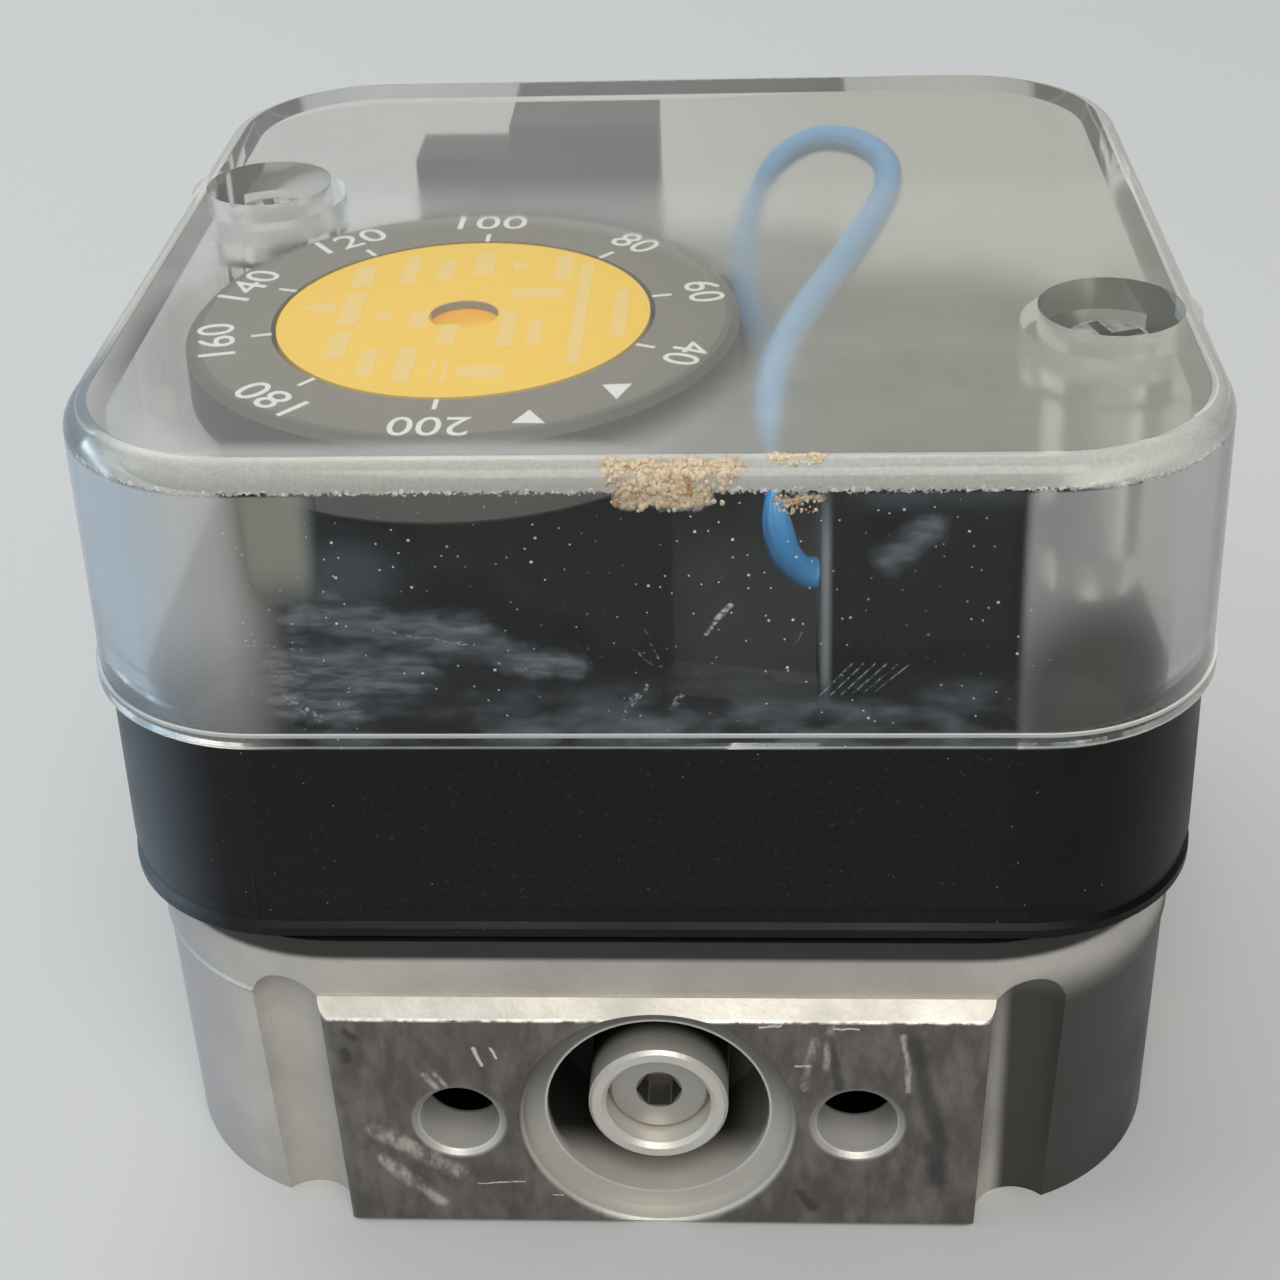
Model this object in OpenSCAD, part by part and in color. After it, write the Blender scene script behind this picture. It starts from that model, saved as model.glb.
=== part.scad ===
// Gas pressure switch with a clear screwed lid, an adjusting dial and a side port pad.
// Units are millimetres. The underside lies on z = 0 and the port pad faces -Y.

/* [Body] */
// Width and depth of the clear lid, the widest of the three stacked bodies
body_w = 60; // [59:0.1:62]
// Setback of the black housing's side behind the lid's side
housing_inset = 0.35; // [0.2:0.05:0.6]
// Setback of the base's top edge behind the lid's side
base_inset = 0.7; // [0.5:0.1:1]

/* [Base casting] */
// Height of the base casting
base_h = 19.4; // [19:0.1:21]
// Corner radius of the base at its top edge
base_corner_r = 12.3; // [11:0.1:13]
// Casting draft on each side over the whole height
base_draft = 0.5; // [0.2:0.1:0.8]

/* [Port pad] */
// Distance by which the pad face stands in front of the lid
pad_proud = 0.3; // [0:0.1:1]
// Width of the pad at its top
pad_w = 36.7; // [36:0.1:38]
// Height of the pad
pad_h = 15.7; // [15.2:0.1:16.5]
// Leg of the chamfer along the top of the pad
pad_chamfer = 0.9; // [0.5:0.1:1.2]
// Radius of the pad's rounded upright edges
pad_edge_r = 0.9; // [0.5:0.1:1.2]
// Height of the parting line round the casting
parting_z = 14.9; // [14:0.1:15.5]
// Radius of the upright flute on each side of the pad
flute_r = 2.4; // [2:0.1:2.6]
// Height of the port and of the screw holes
port_z = 7.6; // [7.4:0.1:8]
// Radius of the sealing ring recess
port_recess_r = 7.45; // [7.2:0.05:7.8]
// Depth of the sealing ring recess
port_recess_depth = 1.2; // [0.8:0.1:1.6]
// Radius of the port bore
port_bore_r = 6.2; // [6:0.1:6.6]
// Depth of the port bore
port_bore_depth = 8; // [7:0.5:9]
// Outer radius of the centre tube in the port
port_tube_r = 3.9; // [3.7:0.1:4.2]
// Wall of the centre tube
port_tube_wall = 0.95; // [0.8:0.05:1.1]
// Setback of the tube's rim behind the pad face
port_tube_setback = 1.3; // [1.2:0.1:2]
// Distance between the two screw holes in the pad
pad_hole_spacing = 22; // [21.6:0.1:22.6]
// Radius of the screw holes in the pad
pad_hole_r = 2.25; // [2.1:0.05:2.4]
// Length of the screw holes behind the pad face
pad_hole_len = 3.2; // [2.5:0.1:4]
// Radius of the screw channels behind the holes
pad_channel_r = 3.9; // [3.5:0.1:4]

/* [Diaphragm] */
// Least wall of the base beside the diaphragm's rim
chamber_wall = 1.9; // [1.8:0.1:2.4]
// Width of the diaphragm's clamped rim
diaphragm_rim_w = 2; // [1.8:0.1:2.4]
// Height of the chamber floor
chamber_floor = 13; // [12.6:0.1:13.5]
// Thickness of the clamped diaphragm rim
diaphragm_rim_t = 1.4; // [1.2:0.1:1.6]
// Width of the rolled part between the plate and the rim
diaphragm_roll_w = 5.1; // [4.8:0.1:5.4]
// Thickness of the diaphragm plate
plate_t = 1; // [0.8:0.1:1.2]
// Upward travel of the diaphragm plate
lift = 0.6; // [0.4:0.1:0.6]

/* [Switch housing] */
// Height of the black housing
housing_h = 12.6; // [12:0.1:13.4]
// Corner radius of the black housing
housing_corner_r = 9.9; // [9.6:0.1:10.4]
// Wall of the black housing
housing_wall = 2.4; // [2.2:0.1:2.8]
// Thickness of the housing floor
housing_floor_t = 2.1; // [1.8:0.1:2.4]

/* [Lid] */
// Height of the clear lid
lid_h = 16.1; // [16:0.1:18]
// Corner radius of the lid
lid_corner_r = 10; // [9.6:0.1:10.4]
// Wall of the lid
lid_wall = 2.2; // [2:0.1:2.4]
// Radius of the rounded top edge
lid_edge_r = 1.4; // [1.2:0.1:1.8]
// Gap between housing and lid that the gasket fills
lid_gap = 0.3; // [0.2:0.1:0.5]
// Distance of the lid screws from the lid's side
lid_screw_inset = 5; // [4.9:0.1:5.4]
// Place of the left lid screw along Y
left_screw_y = 9; // [8:0.1:10]
// Place of the right lid screw along Y
right_screw_y = -11.8; // [-12.2:0.1:-11]
// Radius of the lid's screw recesses
lid_recess_r = 3.95; // [3.7:0.05:4]
// Depth of the lid's screw recesses
lid_recess_depth = 4; // [3:0.1:5]

/* [Setting dial] */
// Gap between the setting wheel and the lid's left wall
wheel_side_gap = 1.1; // [0.8:0.1:1.6]
// Gap between the setting wheel and the lid's front wall
wheel_front_gap = 5.3; // [4.8:0.1:5.8]
// Gap between the setting wheel and the microswitch
wheel_micro_gap = 4.4; // [4:0.1:4.8]
// Room between the microswitch and the lid's right wall, for the screw post
post_room = 7.1; // [6.9:0.1:7.6]
// Thickness of the wheel's rim
wheel_t = 3.5; // [3:0.1:3.6]
// Depth of the dial's face below the top of the lid
dial_depth = 3.6; // [3.4:0.1:4.2]
// Width of the wheel's numbered ring
ring_w = 5.1; // [4.6:0.1:5.4]
// Thickness of the fixed yellow disc
disc_t = 1.2; // [1:0.1:1.4]
// Radius of the dimple in the middle of the disc
dimple_r = 2; // [1.8:0.1:2.2]
// Outer radius of the guide tube that carries the wheel
guide_r = 6; // [5.9:0.1:6.2]
// Wall of the guide tube
guide_wall = 1.2; // [1:0.1:1.3]
// Outer radius of the wheel's threaded sleeve
sleeve_r = 9.6; // [9.4:0.1:9.7]
// Wall of the wheel's threaded sleeve
sleeve_wall = 1.6; // [1.4:0.1:1.7]
// Wall of the tower round the sleeve
tower_wall = 1.7; // [1.5:0.1:2]
// Width of the slots in the guide tube
slot_w = 3.3; // [3:0.1:3.6]

/* [Adjusting spring] */
// Mean radius of the spring
spring_r = 3.95; // [3.9:0.05:4]
// Wire diameter of the spring
spring_wire = 0.8; // [0.7:0.05:0.9]
// Number of turns of the spring
spring_turns = 5; // [4:0.5:6]

/* [Microswitch] */
// Width of the microswitch
micro_w = 11.4; // [11:0.1:11.6]
// Depth of the microswitch
micro_d = 9; // [8.6:0.1:9.4]
// Drop of the microswitch's top below the dial's face
micro_drop = 1.8; // [1.5:0.1:3]
// Gap between the microswitch and the lid's front wall
micro_front_gap = 12.3; // [12:0.1:13]
// Radius of the microswitch's plunger
plunger_r = 1.2; // [1:0.1:1.4]

/* [Rear plug] */
// Width of the rear plug collar
plug_w = 26; // [25.4:0.1:26.6]
// Height of the rear plug collar
plug_h = 10.2; // [9.8:0.1:10.4]
// Reach of the collar behind the housing
plug_reach = 10; // [8:0.5:12]
// Wall of the collar
plug_wall = 1.4; // [1.2:0.1:1.6]
// Setback of the pin tips behind the collar's rim
pin_recess = 4.6; // [4.4:0.1:5]
// Gap between neighbouring flat pins
pin_gap = 1.7; // [1.5:0.1:2]
// Gap between the outer pins and the collar
pin_side_gap = 0.45; // [0.4:0.05:0.8]
// Thickness of a flat pin
pin_t = 0.8; // [0.6:0.1:1]

/* [Terminal block] */
// Width of the terminal block behind the dial
block_w = 16.8; // [16:0.1:17.4]
// Width of the block's top step
block_top_w = 10.2; // [9.6:0.1:11]
// Depth of the terminal block
block_d = 5.25; // [4.8:0.05:6]
// Place of the block's right side across X
block_right = -0.8; // [-1.2:0.1:-0.4]

/* [Blue lead] */
// Diameter of the blue lead
lead_d = 1.9; // [1.7:0.1:2.1]

/* [Hidden] */
$fn = 64;

// Running clearance between a turning or sliding pair, on the radius
run_gap = 0.05;
// Clearance beside parts that move past each other
free_gap = 0.3;
// Clearance of a screw in its through hole, on the radius
screw_gap = 0.15;
// Overlap that carries a cut past a face
cut = 1;

half = body_w / 2;
lid_in_half = half - lid_wall;

base_half = half - base_inset;
base_c = base_half - base_corner_r;
base_foot_r = base_corner_r - base_draft;
pad_reach = half + pad_proud;
pad_back = base_half - base_corner_r;
pad_foot_w = pad_w - 1.1;
pad_lean = atan2((pad_w - pad_foot_w) / 2, pad_h);

housing_half = half - housing_inset;
housing_c = housing_half - housing_corner_r;
housing_in = housing_corner_r - housing_wall;
housing_z = base_h;
floor_z = housing_z + housing_floor_t;
housing_top = housing_z + housing_h;

lid_z = housing_top + lid_gap;
lid_top = lid_z + lid_h;
lid_c = half - lid_corner_r;
lid_in = lid_corner_r - lid_wall;
lid_ceiling = lid_top - lid_wall;

wheel_r = (2 * lid_in_half - wheel_side_gap - wheel_micro_gap - micro_w - post_room) / 2;
disc_r = wheel_r - ring_w;
dial_x = wheel_side_gap + wheel_r - lid_in_half;
dial_y = wheel_front_gap + wheel_r - lid_in_half;
dial_z = lid_top - dial_depth;
disc_z = dial_z - disc_t;
wheel_z = dial_z - wheel_t;
web_top = disc_z - free_gap;
guide_in = guide_r - guide_wall;
sleeve_in = sleeve_r - sleeve_wall;
sleeve_z = wheel_z - 11;
tower_in = sleeve_r + free_gap;
tower_r = tower_in + tower_wall;
tower_top = wheel_z - 0.5;
guide_z = floor_z + 2.5;
web_h = 2;

micro_top = dial_z - micro_drop;
micro_x = lid_in_half - post_room - micro_w / 2;
micro_y = micro_front_gap + micro_d / 2 - lid_in_half;

diaphragm_r = base_half + dial_x - chamber_wall;
chamber_r = diaphragm_r - diaphragm_rim_w;
plate_r = chamber_r - diaphragm_roll_w;
plate_z = base_h - 0.2;
plate_hub_r = 3;
arm_z = floor_z + free_gap;
arm_t = 1.2;
arm_w = 3.6;
seat_r = guide_in - free_gap;
nut_z = sleeve_z + 4;
nut_t = 3;
spring_z = arm_z + arm_t;
arm_angle = atan2(micro_y - dial_y, micro_x - dial_x);
arm_len = norm([micro_x - dial_x, micro_y - dial_y]);

micro_z = arm_z + arm_t + lift + 1;
screw_r = 1.5;
corner_screw = base_half - 7.3;
corner_screw_r = 1.4;
corner_head_r = 2.7;
corner_head_t = 2.4;
corner_seat = 4;
corner_boss_r = 3.2;
post_r = 3.8;
insert_r = 2.2;
insert_len = 6;
boss_r = 3.4;
recess_wall = 0.9;
head_r = 3;
head_t = 2.2;
lid_screws_at = [[lid_screw_inset - half, left_screw_y], [half - lid_screw_inset, right_screw_y]];

plug_z = floor_z + plug_h / 2 - 0.4;
plug_y = housing_half;
pin_w = (plug_w - 2 * plug_wall - 2 * pin_side_gap - 2 * pin_gap) / 3;
pin_pitch = pin_w + pin_gap;
window_w = plug_w - 3;
window_h = plug_h - 3;
pin_in = 5;
pin_out = plug_reach - pin_recess;

gasket_w = 1.4;
gasket_sink = 0.8;

// Loop of the blue lead from its foot on the earth pin to its end in the microswitch, with heights above the floor
lead_loop = [[7.2, 21.5, 6.5], [5.8, 20.4, 10], [4.9, 20.2, 14], [5.2, 21, 18], [6.8, 22.4, 21.3], [9.6, 23, 23.1],
    [12.6, 21.4, 23.5], [14.6, 17.6, 23.5], [14.6, 13, 23.4], [13.4, 8, 23.2], [11.6, 3, 22.9], [9.6, -2, 22.5],
    [7.7, -7, 22.1], [6.6, -11.2, 21.4], [6.4, -14.2, 19.5], [6.7, -15.4, 16.7], [7.2, -15.2, 13.9], [8.2, -14.4, 12.3]];
lead_foot = [pin_pitch, plug_y - pin_in - 0.05, plug_z];
lead_end = [micro_x - micro_w / 2, micro_y - 3.1, floor_z + 12];
lead_route = concat([lead_foot, lead_foot - [0, 1.2, 0]], [for (p = lead_loop) p + [0, 0, floor_z]],
    [lead_end - [0.5, 0, 0], lead_end]);

// Sweeps a section round a rounded square: x of the section runs outward from the corner centres
module around(c) {
    for (side = [0:3])
        rotate([0, 0, 90 * side]) {
            translate([c, c, 0]) rotate_extrude(angle = 90) children();
            translate([c, c, 0]) rotate([90, 0, 0]) linear_extrude(2 * c) children();
        }
}

// Block with rounded upright edges
module rounded_block(w, d, h, r) {
    linear_extrude(h) rounded_plan(w, d, r);
}

// Rectangle with rounded corners, from two bars and four circles
module rounded_plan(w, d, r) {
    square([w - 2 * r, d], center = true);
    square([w, d - 2 * r], center = true);
    for (sx = [-1, 1], sy = [-1, 1])
        translate([sx * (w / 2 - r), sy * (d / 2 - r)]) circle(r);
}

// Rounded square that widens upward, as a casting with draft does
module drafted_block(c, r_low, r_high, h) {
    for (sx = [-1, 1], sy = [-1, 1])
        translate([sx * c, sy * c, 0]) cylinder(h = h, r1 = r_low, r2 = r_high);
    for (turn = [0, 90])
        rotate([0, 0, turn]) rotate([90, 0, 0])
            linear_extrude(2 * c, center = true)
                polygon([[-c - r_low, 0], [c + r_low, 0], [c + r_high, h], [-c - r_high, h]]);
}

// Moves its children to the axis of the dial
module at_dial(z = 0) {
    translate([dial_x, dial_y, z]) children();
}

// Lays its children along -Y with z of the child as depth behind the pad face
module from_pad(x = 0) {
    translate([x, -pad_reach, port_z]) rotate([-90, 0, 0]) children();
}

// Raised pad with a chamfered top, rounded upright edges and sides that lean inward to the foot
module port_pad() {
    difference() {
        pad_block();
        for (side = [-1, 1])
            mirror([side < 0 ? 1 : 0, 0, 0]) translate([pad_foot_w / 2 - pad_edge_r, pad_edge_r - pad_reach, 0])
                rotate([0, pad_lean, 0]) difference() {
                    translate([0, -2 * pad_edge_r, -cut]) cube([2 * pad_edge_r, 2 * pad_edge_r, pad_h + 2 * cut]);
                    translate([0, 0, -2 * cut]) cylinder(h = pad_h + 4 * cut, r = pad_edge_r);
                }
    }
}

// The pad before its upright edges are rounded
module pad_block() {
    intersection() {
        rotate([90, 0, 90]) linear_extrude(pad_w + 2, center = true)
            polygon([[-pad_back, 0], [-pad_reach + 0.3, 0], [-pad_reach, 0.3],
                [-pad_reach, pad_h - pad_chamfer], [-pad_reach + pad_chamfer, pad_h], [-pad_back, pad_h]]);
        translate([0, -pad_back, 0]) rotate([90, 0, 0]) linear_extrude(pad_reach)
            polygon([[-pad_foot_w / 2, 0], [pad_foot_w / 2, 0], [pad_w / 2, pad_h], [-pad_w / 2, pad_h]]);
    }
}

// Fine ridge that the die leaves round the casting
module parting_line() {
    ridge_r = base_foot_r + base_draft * parting_z / base_h;
    around(base_c)
        translate([ridge_r, parting_z]) polygon([[-1, -0.25], [0, -0.25], [0.12, 0], [0, 0.2], [-1, 0.2]]);
}

// Upright flute with a round top beside the pad
module flute(side) {
    translate([side * (pad_foot_w / 2 + flute_r - 0.2), -base_half - 0.3, 0]) rotate([0, side * pad_lean, 0]) {
        translate([0, 0, -cut]) cylinder(h = pad_h - flute_r + 1 + cut, r = flute_r);
        translate([0, 0, pad_h - flute_r + 1]) sphere(flute_r);
    }
}

// Stepped void of the port round the centre tube
module port_void() {
    tube_in = port_tube_r - port_tube_wall;
    rotate_extrude()
        polygon([[0, -cut], [port_recess_r + 0.3, -cut], [port_recess_r + 0.3, 0], [port_recess_r, 0.3],
            [port_recess_r, port_recess_depth], [port_bore_r, port_recess_depth], [port_bore_r, port_bore_depth],
            [port_tube_r, port_bore_depth], [port_tube_r, port_tube_setback + 0.2],
            [port_tube_r - 0.2, port_tube_setback], [tube_in + 0.25, port_tube_setback],
            [tube_in, port_tube_setback + 0.25], [tube_in, port_bore_depth - 2], [0, port_bore_depth - 2]]);
}

// Die-cast base with the port pad, the screw channels and the pressure chamber
module base_housing() {
    color([0.58, 0.57, 0.54])
        difference() {
            union() {
                drafted_block(base_c, base_foot_r, base_corner_r, base_h);
                port_pad();
                parting_line();
            }
            for (side = [-1, 1]) {
                flute(side);
                from_pad(side * pad_hole_spacing / 2) {
                    translate([0, 0, -cut]) cylinder(h = pad_hole_len + 2 * cut, r = pad_hole_r);
                    translate([0, 0, -0.01]) cylinder(h = 0.26, r1 = pad_hole_r + 0.25, r2 = pad_hole_r);
                    translate([0, 0, pad_hole_len]) cylinder(h = 2 * base_half + cut, r = pad_channel_r);
                }
            }
            from_pad() port_void();
            gas_passage();
            at_dial(chamber_floor) cylinder(h = base_h, r = chamber_r);
            at_dial(base_h - diaphragm_rim_t) cylinder(h = base_h, r = diaphragm_r);
            corner_screws_void();
        }
}

// Drilled way from the foot of the port bore into the pressure chamber
module gas_passage() {
    start = -pad_reach + port_bore_depth - cut;
    translate([0, start, port_z + (port_bore_r + port_tube_r) / 2]) rotate([-90, 0, 0])
        cylinder(h = dial_y - chamber_r / 2 - start, r = 1.1);
}

// Counterbored holes for the four screws from the underside
module corner_screws_void() {
    for (sx = [-1, 1], sy = [-1, 1])
        translate([sx * corner_screw, sy * corner_screw, -cut]) {
            cylinder(h = base_h + 2 * cut, r = corner_screw_r + screw_gap);
            cylinder(h = corner_seat + cut, r = corner_head_r + screw_gap);
        }
}

// Slotted screw that closes the centre tube of the port
module nozzle_screw() {
    face = port_tube_setback + 1.3;
    tube_in = port_tube_r - port_tube_wall;
    color([0.62, 0.6, 0.57])
        from_pad() difference() {
            translate([0, 0, face]) cylinder(h = port_bore_depth * 0.75 - face, r = tube_in);
            translate([0, 0, face - cut]) cylinder(h = 1.6 + cut, r = 1.3, $fn = 6);
            translate([0, 0, face - 0.01]) difference() {
                cylinder(h = 0.3, r = tube_in + cut);
                cylinder(h = 0.31, r1 = tube_in - 0.3, r2 = tube_in);
            }
        }
}

// Rubber diaphragm with a bead at its rim and one rolled convolution
module diaphragm() {
    roll_r = (chamber_r + plate_r) / 2;
    roll_out = 1.8;
    sheet_t = 0.6;
    roll_in = roll_out - sheet_t;
    sheet_z = plate_z - sheet_t;
    color([0.12, 0.12, 0.12])
        at_dial() rotate_extrude() {
            translate([chamber_r - 1, base_h - diaphragm_rim_t]) square([diaphragm_r - chamber_r + 1, diaphragm_rim_t]);
            translate([roll_r + roll_in, sheet_z]) square([chamber_r - roll_r - roll_in, sheet_t]);
            translate([plate_hub_r, sheet_z]) square([roll_r - roll_in - plate_hub_r, sheet_t]);
            translate([roll_r, sheet_z + sheet_t]) difference() {
                circle(roll_out);
                circle(roll_in);
                translate([-2 * roll_out, 0]) square([4 * roll_out, 2 * roll_out]);
            }
        }
}

// Aluminium plate on the diaphragm with the hub that carries the arm
module diaphragm_plate() {
    color([0.75, 0.75, 0.76])
        at_dial(plate_z) {
            cylinder(h = plate_t, r = plate_r);
            cylinder(h = arm_z - plate_z, r = plate_hub_r + 0.8);
            cylinder(h = spring_z + 1.2 - plate_z, r = plate_hub_r - 0.4);
            translate([0, 0, -2]) cylinder(h = 2.1, r = plate_hub_r - 1);
        }
}

// Washer under the diaphragm that is riveted to the plate
module diaphragm_washer() {
    color([0.7, 0.68, 0.62])
        at_dial(plate_z - 1.4) difference() {
            cylinder(h = 0.8, r = plate_r - 1.4);
            translate([0, 0, -cut]) cylinder(h = 1 + 2 * cut, r = plate_hub_r - 1);
        }
}

// Pressed steel arm that carries the plate's movement to the microswitch
module actuator_arm() {
    color([0.72, 0.72, 0.74])
        at_dial(arm_z) difference() {
            union() {
                cylinder(h = arm_t, r = seat_r);
                rotate([0, 0, arm_angle]) {
                    translate([0, -arm_w / 2, 0]) cube([arm_len, arm_w, arm_t]);
                    translate([arm_len, 0, 0]) cylinder(h = arm_t, r = arm_w / 2);
                }
            }
            translate([0, 0, -cut]) cylinder(h = arm_t + 2 * cut, r = plate_hub_r - 0.4);
        }
}

// Points of a circle in the plane across a route at one of its points
function ring_points(p, along, r, sides) =
    let (d = along / norm(along),
         ref = abs(d[2]) < 0.9 ? [0, 0, 1] : [0, 1, 0],
         u = cross(d, ref) / norm(cross(d, ref)),
         v = cross(u, d))
    [for (k = [0:sides - 1]) p + r * (cos(360 * k / sides) * u + sin(360 * k / sides) * v)];

// Tube of a given radius along a list of points, closed at both ends
module tube_along(route, r, sides) {
    n = len(route);
    rings = [for (i = [0:n - 1])
        each ring_points(route[i], route[min(i + 1, n - 1)] - route[max(i - 1, 0)], r, sides)];
    walls = [for (i = [0:n - 2], k = [0:sides - 1])
        [i * sides + k, i * sides + (k + 1) % sides, (i + 1) * sides + (k + 1) % sides, (i + 1) * sides + k]];
    first = [for (k = [0:sides - 1]) sides - 1 - k];
    last = [for (k = [0:sides - 1]) (n - 1) * sides + k];
    polyhedron(points = rings, faces = concat([first], walls, [last]), convexity = 8);
}

// Coil spring between the arm and the nut
module adjusting_spring() {
    steps = 16;
    low = spring_z + spring_wire / 2;
    high = nut_z - spring_wire / 2;
    turn_points = spring_turns * steps;
    route = [for (i = [0:turn_points])
        [spring_r * cos(360 * i / steps), spring_r * sin(360 * i / steps), low + (high - low) * i / turn_points]];
    color([0.6, 0.6, 0.62]) at_dial() tube_along(route, spring_wire / 2 - 0.02, 8);
}

// Nut that presses on the spring, with two lugs in the slots of the guide tube
module spring_nut() {
    color([0.85, 0.82, 0.75])
        at_dial(nut_z) {
            cylinder(h = nut_t, r = guide_in - run_gap);
            intersection() {
                cylinder(h = nut_t, r = sleeve_in - run_gap);
                translate([-sleeve_in, -slot_w / 2 + 0.15, 0]) cube([2 * sleeve_in, slot_w - 0.3, nut_t]);
            }
        }
}

// Section of the black housing's wall with its stepped lower edge
module housing_wall_section() {
    step_z = 2.5;
    lip_z = 1.2;
    polygon([[housing_in, housing_z], [housing_corner_r - 0.75, housing_z], [housing_corner_r - 0.35, housing_z + 0.5],
        [housing_corner_r + 0.05, housing_z + lip_z - 0.5], [housing_corner_r + 0.05, housing_z + lip_z],
        [housing_corner_r - 0.2, housing_z + lip_z + 0.3], [housing_corner_r - 0.2, housing_z + step_z],
        [housing_corner_r, housing_z + step_z + 0.1], [housing_corner_r, housing_top], [housing_in, housing_top]]);
}

// Guide tube and tower that carry the setting wheel
module dial_tower() {
    at_dial() {
        difference() {
            translate([0, 0, floor_z]) cylinder(h = tower_top - floor_z, r = tower_r);
            translate([0, 0, floor_z - cut]) cylinder(h = tower_top, r = tower_in);
            rotate([0, 0, arm_angle]) translate([0, -arm_w / 2 - free_gap, floor_z - cut])
                cube([tower_r + cut, arm_w + 2 * free_gap, arm_t + lift + 2 * free_gap + cut]);
        }
        difference() {
            union() {
                translate([0, 0, guide_z]) cylinder(h = disc_z - guide_z, r = guide_r);
                translate([0, 0, guide_z]) cylinder(h = web_h, r = tower_in + 0.5);
            }
            translate([0, 0, guide_z - cut]) cylinder(h = disc_z, r = guide_in);
            translate([-guide_r - cut, -slot_w / 2, nut_z - 1.6])
                cube([2 * guide_r + 2 * cut, slot_w, tower_top - nut_z + 1.6]);
        }
    }
}

// Black moulded housing with its floor, screw posts, tower and plug window
module switch_housing() {
    color([0.11, 0.11, 0.12])
        difference() {
            union() {
                around(housing_c) housing_wall_section();
                translate([0, 0, housing_z])
                    rounded_block(2 * (housing_c + housing_in) + 1, 2 * (housing_c + housing_in) + 1,
                        housing_floor_t, housing_in + 0.5);
                for (p = lid_screws_at) translate([p[0], p[1], floor_z - 0.5]) cylinder(h = housing_top - floor_z + 0.5, r = post_r);
                for (sx = [-1, 1], sy = [-1, 1])
                    translate([sx * corner_screw, sy * corner_screw, floor_z - 0.5])
                        cylinder(h = housing_top - floor_z - 1.5, r = corner_boss_r);
                dial_tower();
                for (sy = [-1, 1])
                    translate([micro_x - micro_w / 2, micro_y + sy * (micro_d / 2 - 0.7) - 0.7, floor_z - 0.5])
                        cube([micro_w, 1.4, micro_z - floor_z + 0.5]);
            }
            at_dial(housing_z - cut) cylinder(h = housing_floor_t + 2 * cut - 0.9, r = plate_r + 0.8);
            for (p = lid_screws_at)
                translate([p[0], p[1], housing_top - insert_len]) cylinder(h = insert_len + cut, r = insert_r);
            for (sx = [-1, 1], sy = [-1, 1])
                translate([sx * corner_screw, sy * corner_screw, housing_z - cut]) cylinder(h = 9 + cut, r = corner_screw_r);
            translate([-window_w / 2, housing_half - housing_wall - cut, plug_z - window_h / 2])
                cube([window_w, housing_wall + 2 * cut, window_h]);
            gasket_groove();
        }
}

// Shallow groove for the gasket in the top of the housing wall
module gasket_groove() {
    around(housing_c)
        translate([housing_in + 0.5, housing_top - gasket_sink]) square([gasket_w, gasket_sink + cut]);
}

// Flat gasket between the housing and the lid
module lid_gasket() {
    color([0.2, 0.2, 0.2])
        around(housing_c)
            translate([housing_in + 0.5 + run_gap, housing_top - gasket_sink])
                square([gasket_w - 2 * run_gap, gasket_sink + lid_gap]);
}

// Four screws that hold the base to the housing from below
module housing_screws() {
    color([0.7, 0.7, 0.72])
        for (sx = [-1, 1], sy = [-1, 1])
            translate([sx * corner_screw, sy * corner_screw, 0]) difference() {
                union() {
                    translate([0, 0, corner_seat - corner_head_t]) cylinder(h = corner_head_t, r = corner_head_r);
                    translate([0, 0, corner_seat - 0.2]) cylinder(h = housing_z + 8 - corner_seat, r = corner_screw_r);
                }
                translate([0, 0, corner_seat - corner_head_t - cut]) cylinder(h = 1.3 + cut, r = 1.25, $fn = 6);
            }
}

// Setting wheel: dial ring, web with the hub bore, and the threaded sleeve below
module setting_wheel() {
    rim_in = disc_r + free_gap;
    color([0.14, 0.14, 0.14])
        at_dial() rotate_extrude(convexity = 6)
            polygon([[guide_r + run_gap, wheel_z], [sleeve_in, wheel_z], [sleeve_in, sleeve_z], [sleeve_r, sleeve_z],
                [sleeve_r, wheel_z], [wheel_r - 0.3, wheel_z], [wheel_r, wheel_z + 0.3], [wheel_r, dial_z - 0.4],
                [wheel_r - 0.4, dial_z], [rim_in, dial_z], [rim_in, web_top], [guide_r + run_gap, web_top]]);
}

// Fixed yellow disc with a dimple, on a stem in the guide tube
module pointer_disc() {
    color([0.93, 0.76, 0.22])
        at_dial(disc_z) difference() {
            union() {
                cylinder(h = disc_t, r = disc_r);
                translate([0, 0, -2]) cylinder(h = 2.1, r = guide_in - run_gap);
            }
            translate([0, 0, disc_t - 1]) cylinder(h = 1 + cut, r = dimple_r);
        }
}

// Black microswitch that stands on two ribs of the housing
module micro_switch() {
    color([0.09, 0.09, 0.1])
        translate([micro_x, micro_y, micro_z]) difference() {
            translate([0, 0, 0]) rounded_block(micro_w, micro_d, micro_top - micro_z, 0.4);
            translate([0, 0, -cut]) cylinder(h = 4 + cut, r = plunger_r + run_gap);
            translate([1.2, 0.8, micro_top - micro_z - 1.2]) rounded_block(5.6, 4.6, 1.2 + cut, 0.3);
        }
}

// Plunger under the microswitch that the arm lifts
module switch_plunger() {
    color([0.8, 0.2, 0.15])
        translate([micro_x, micro_y, arm_z + arm_t]) cylinder(h = micro_z - arm_z - arm_t + 3, r = plunger_r);
}

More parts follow.
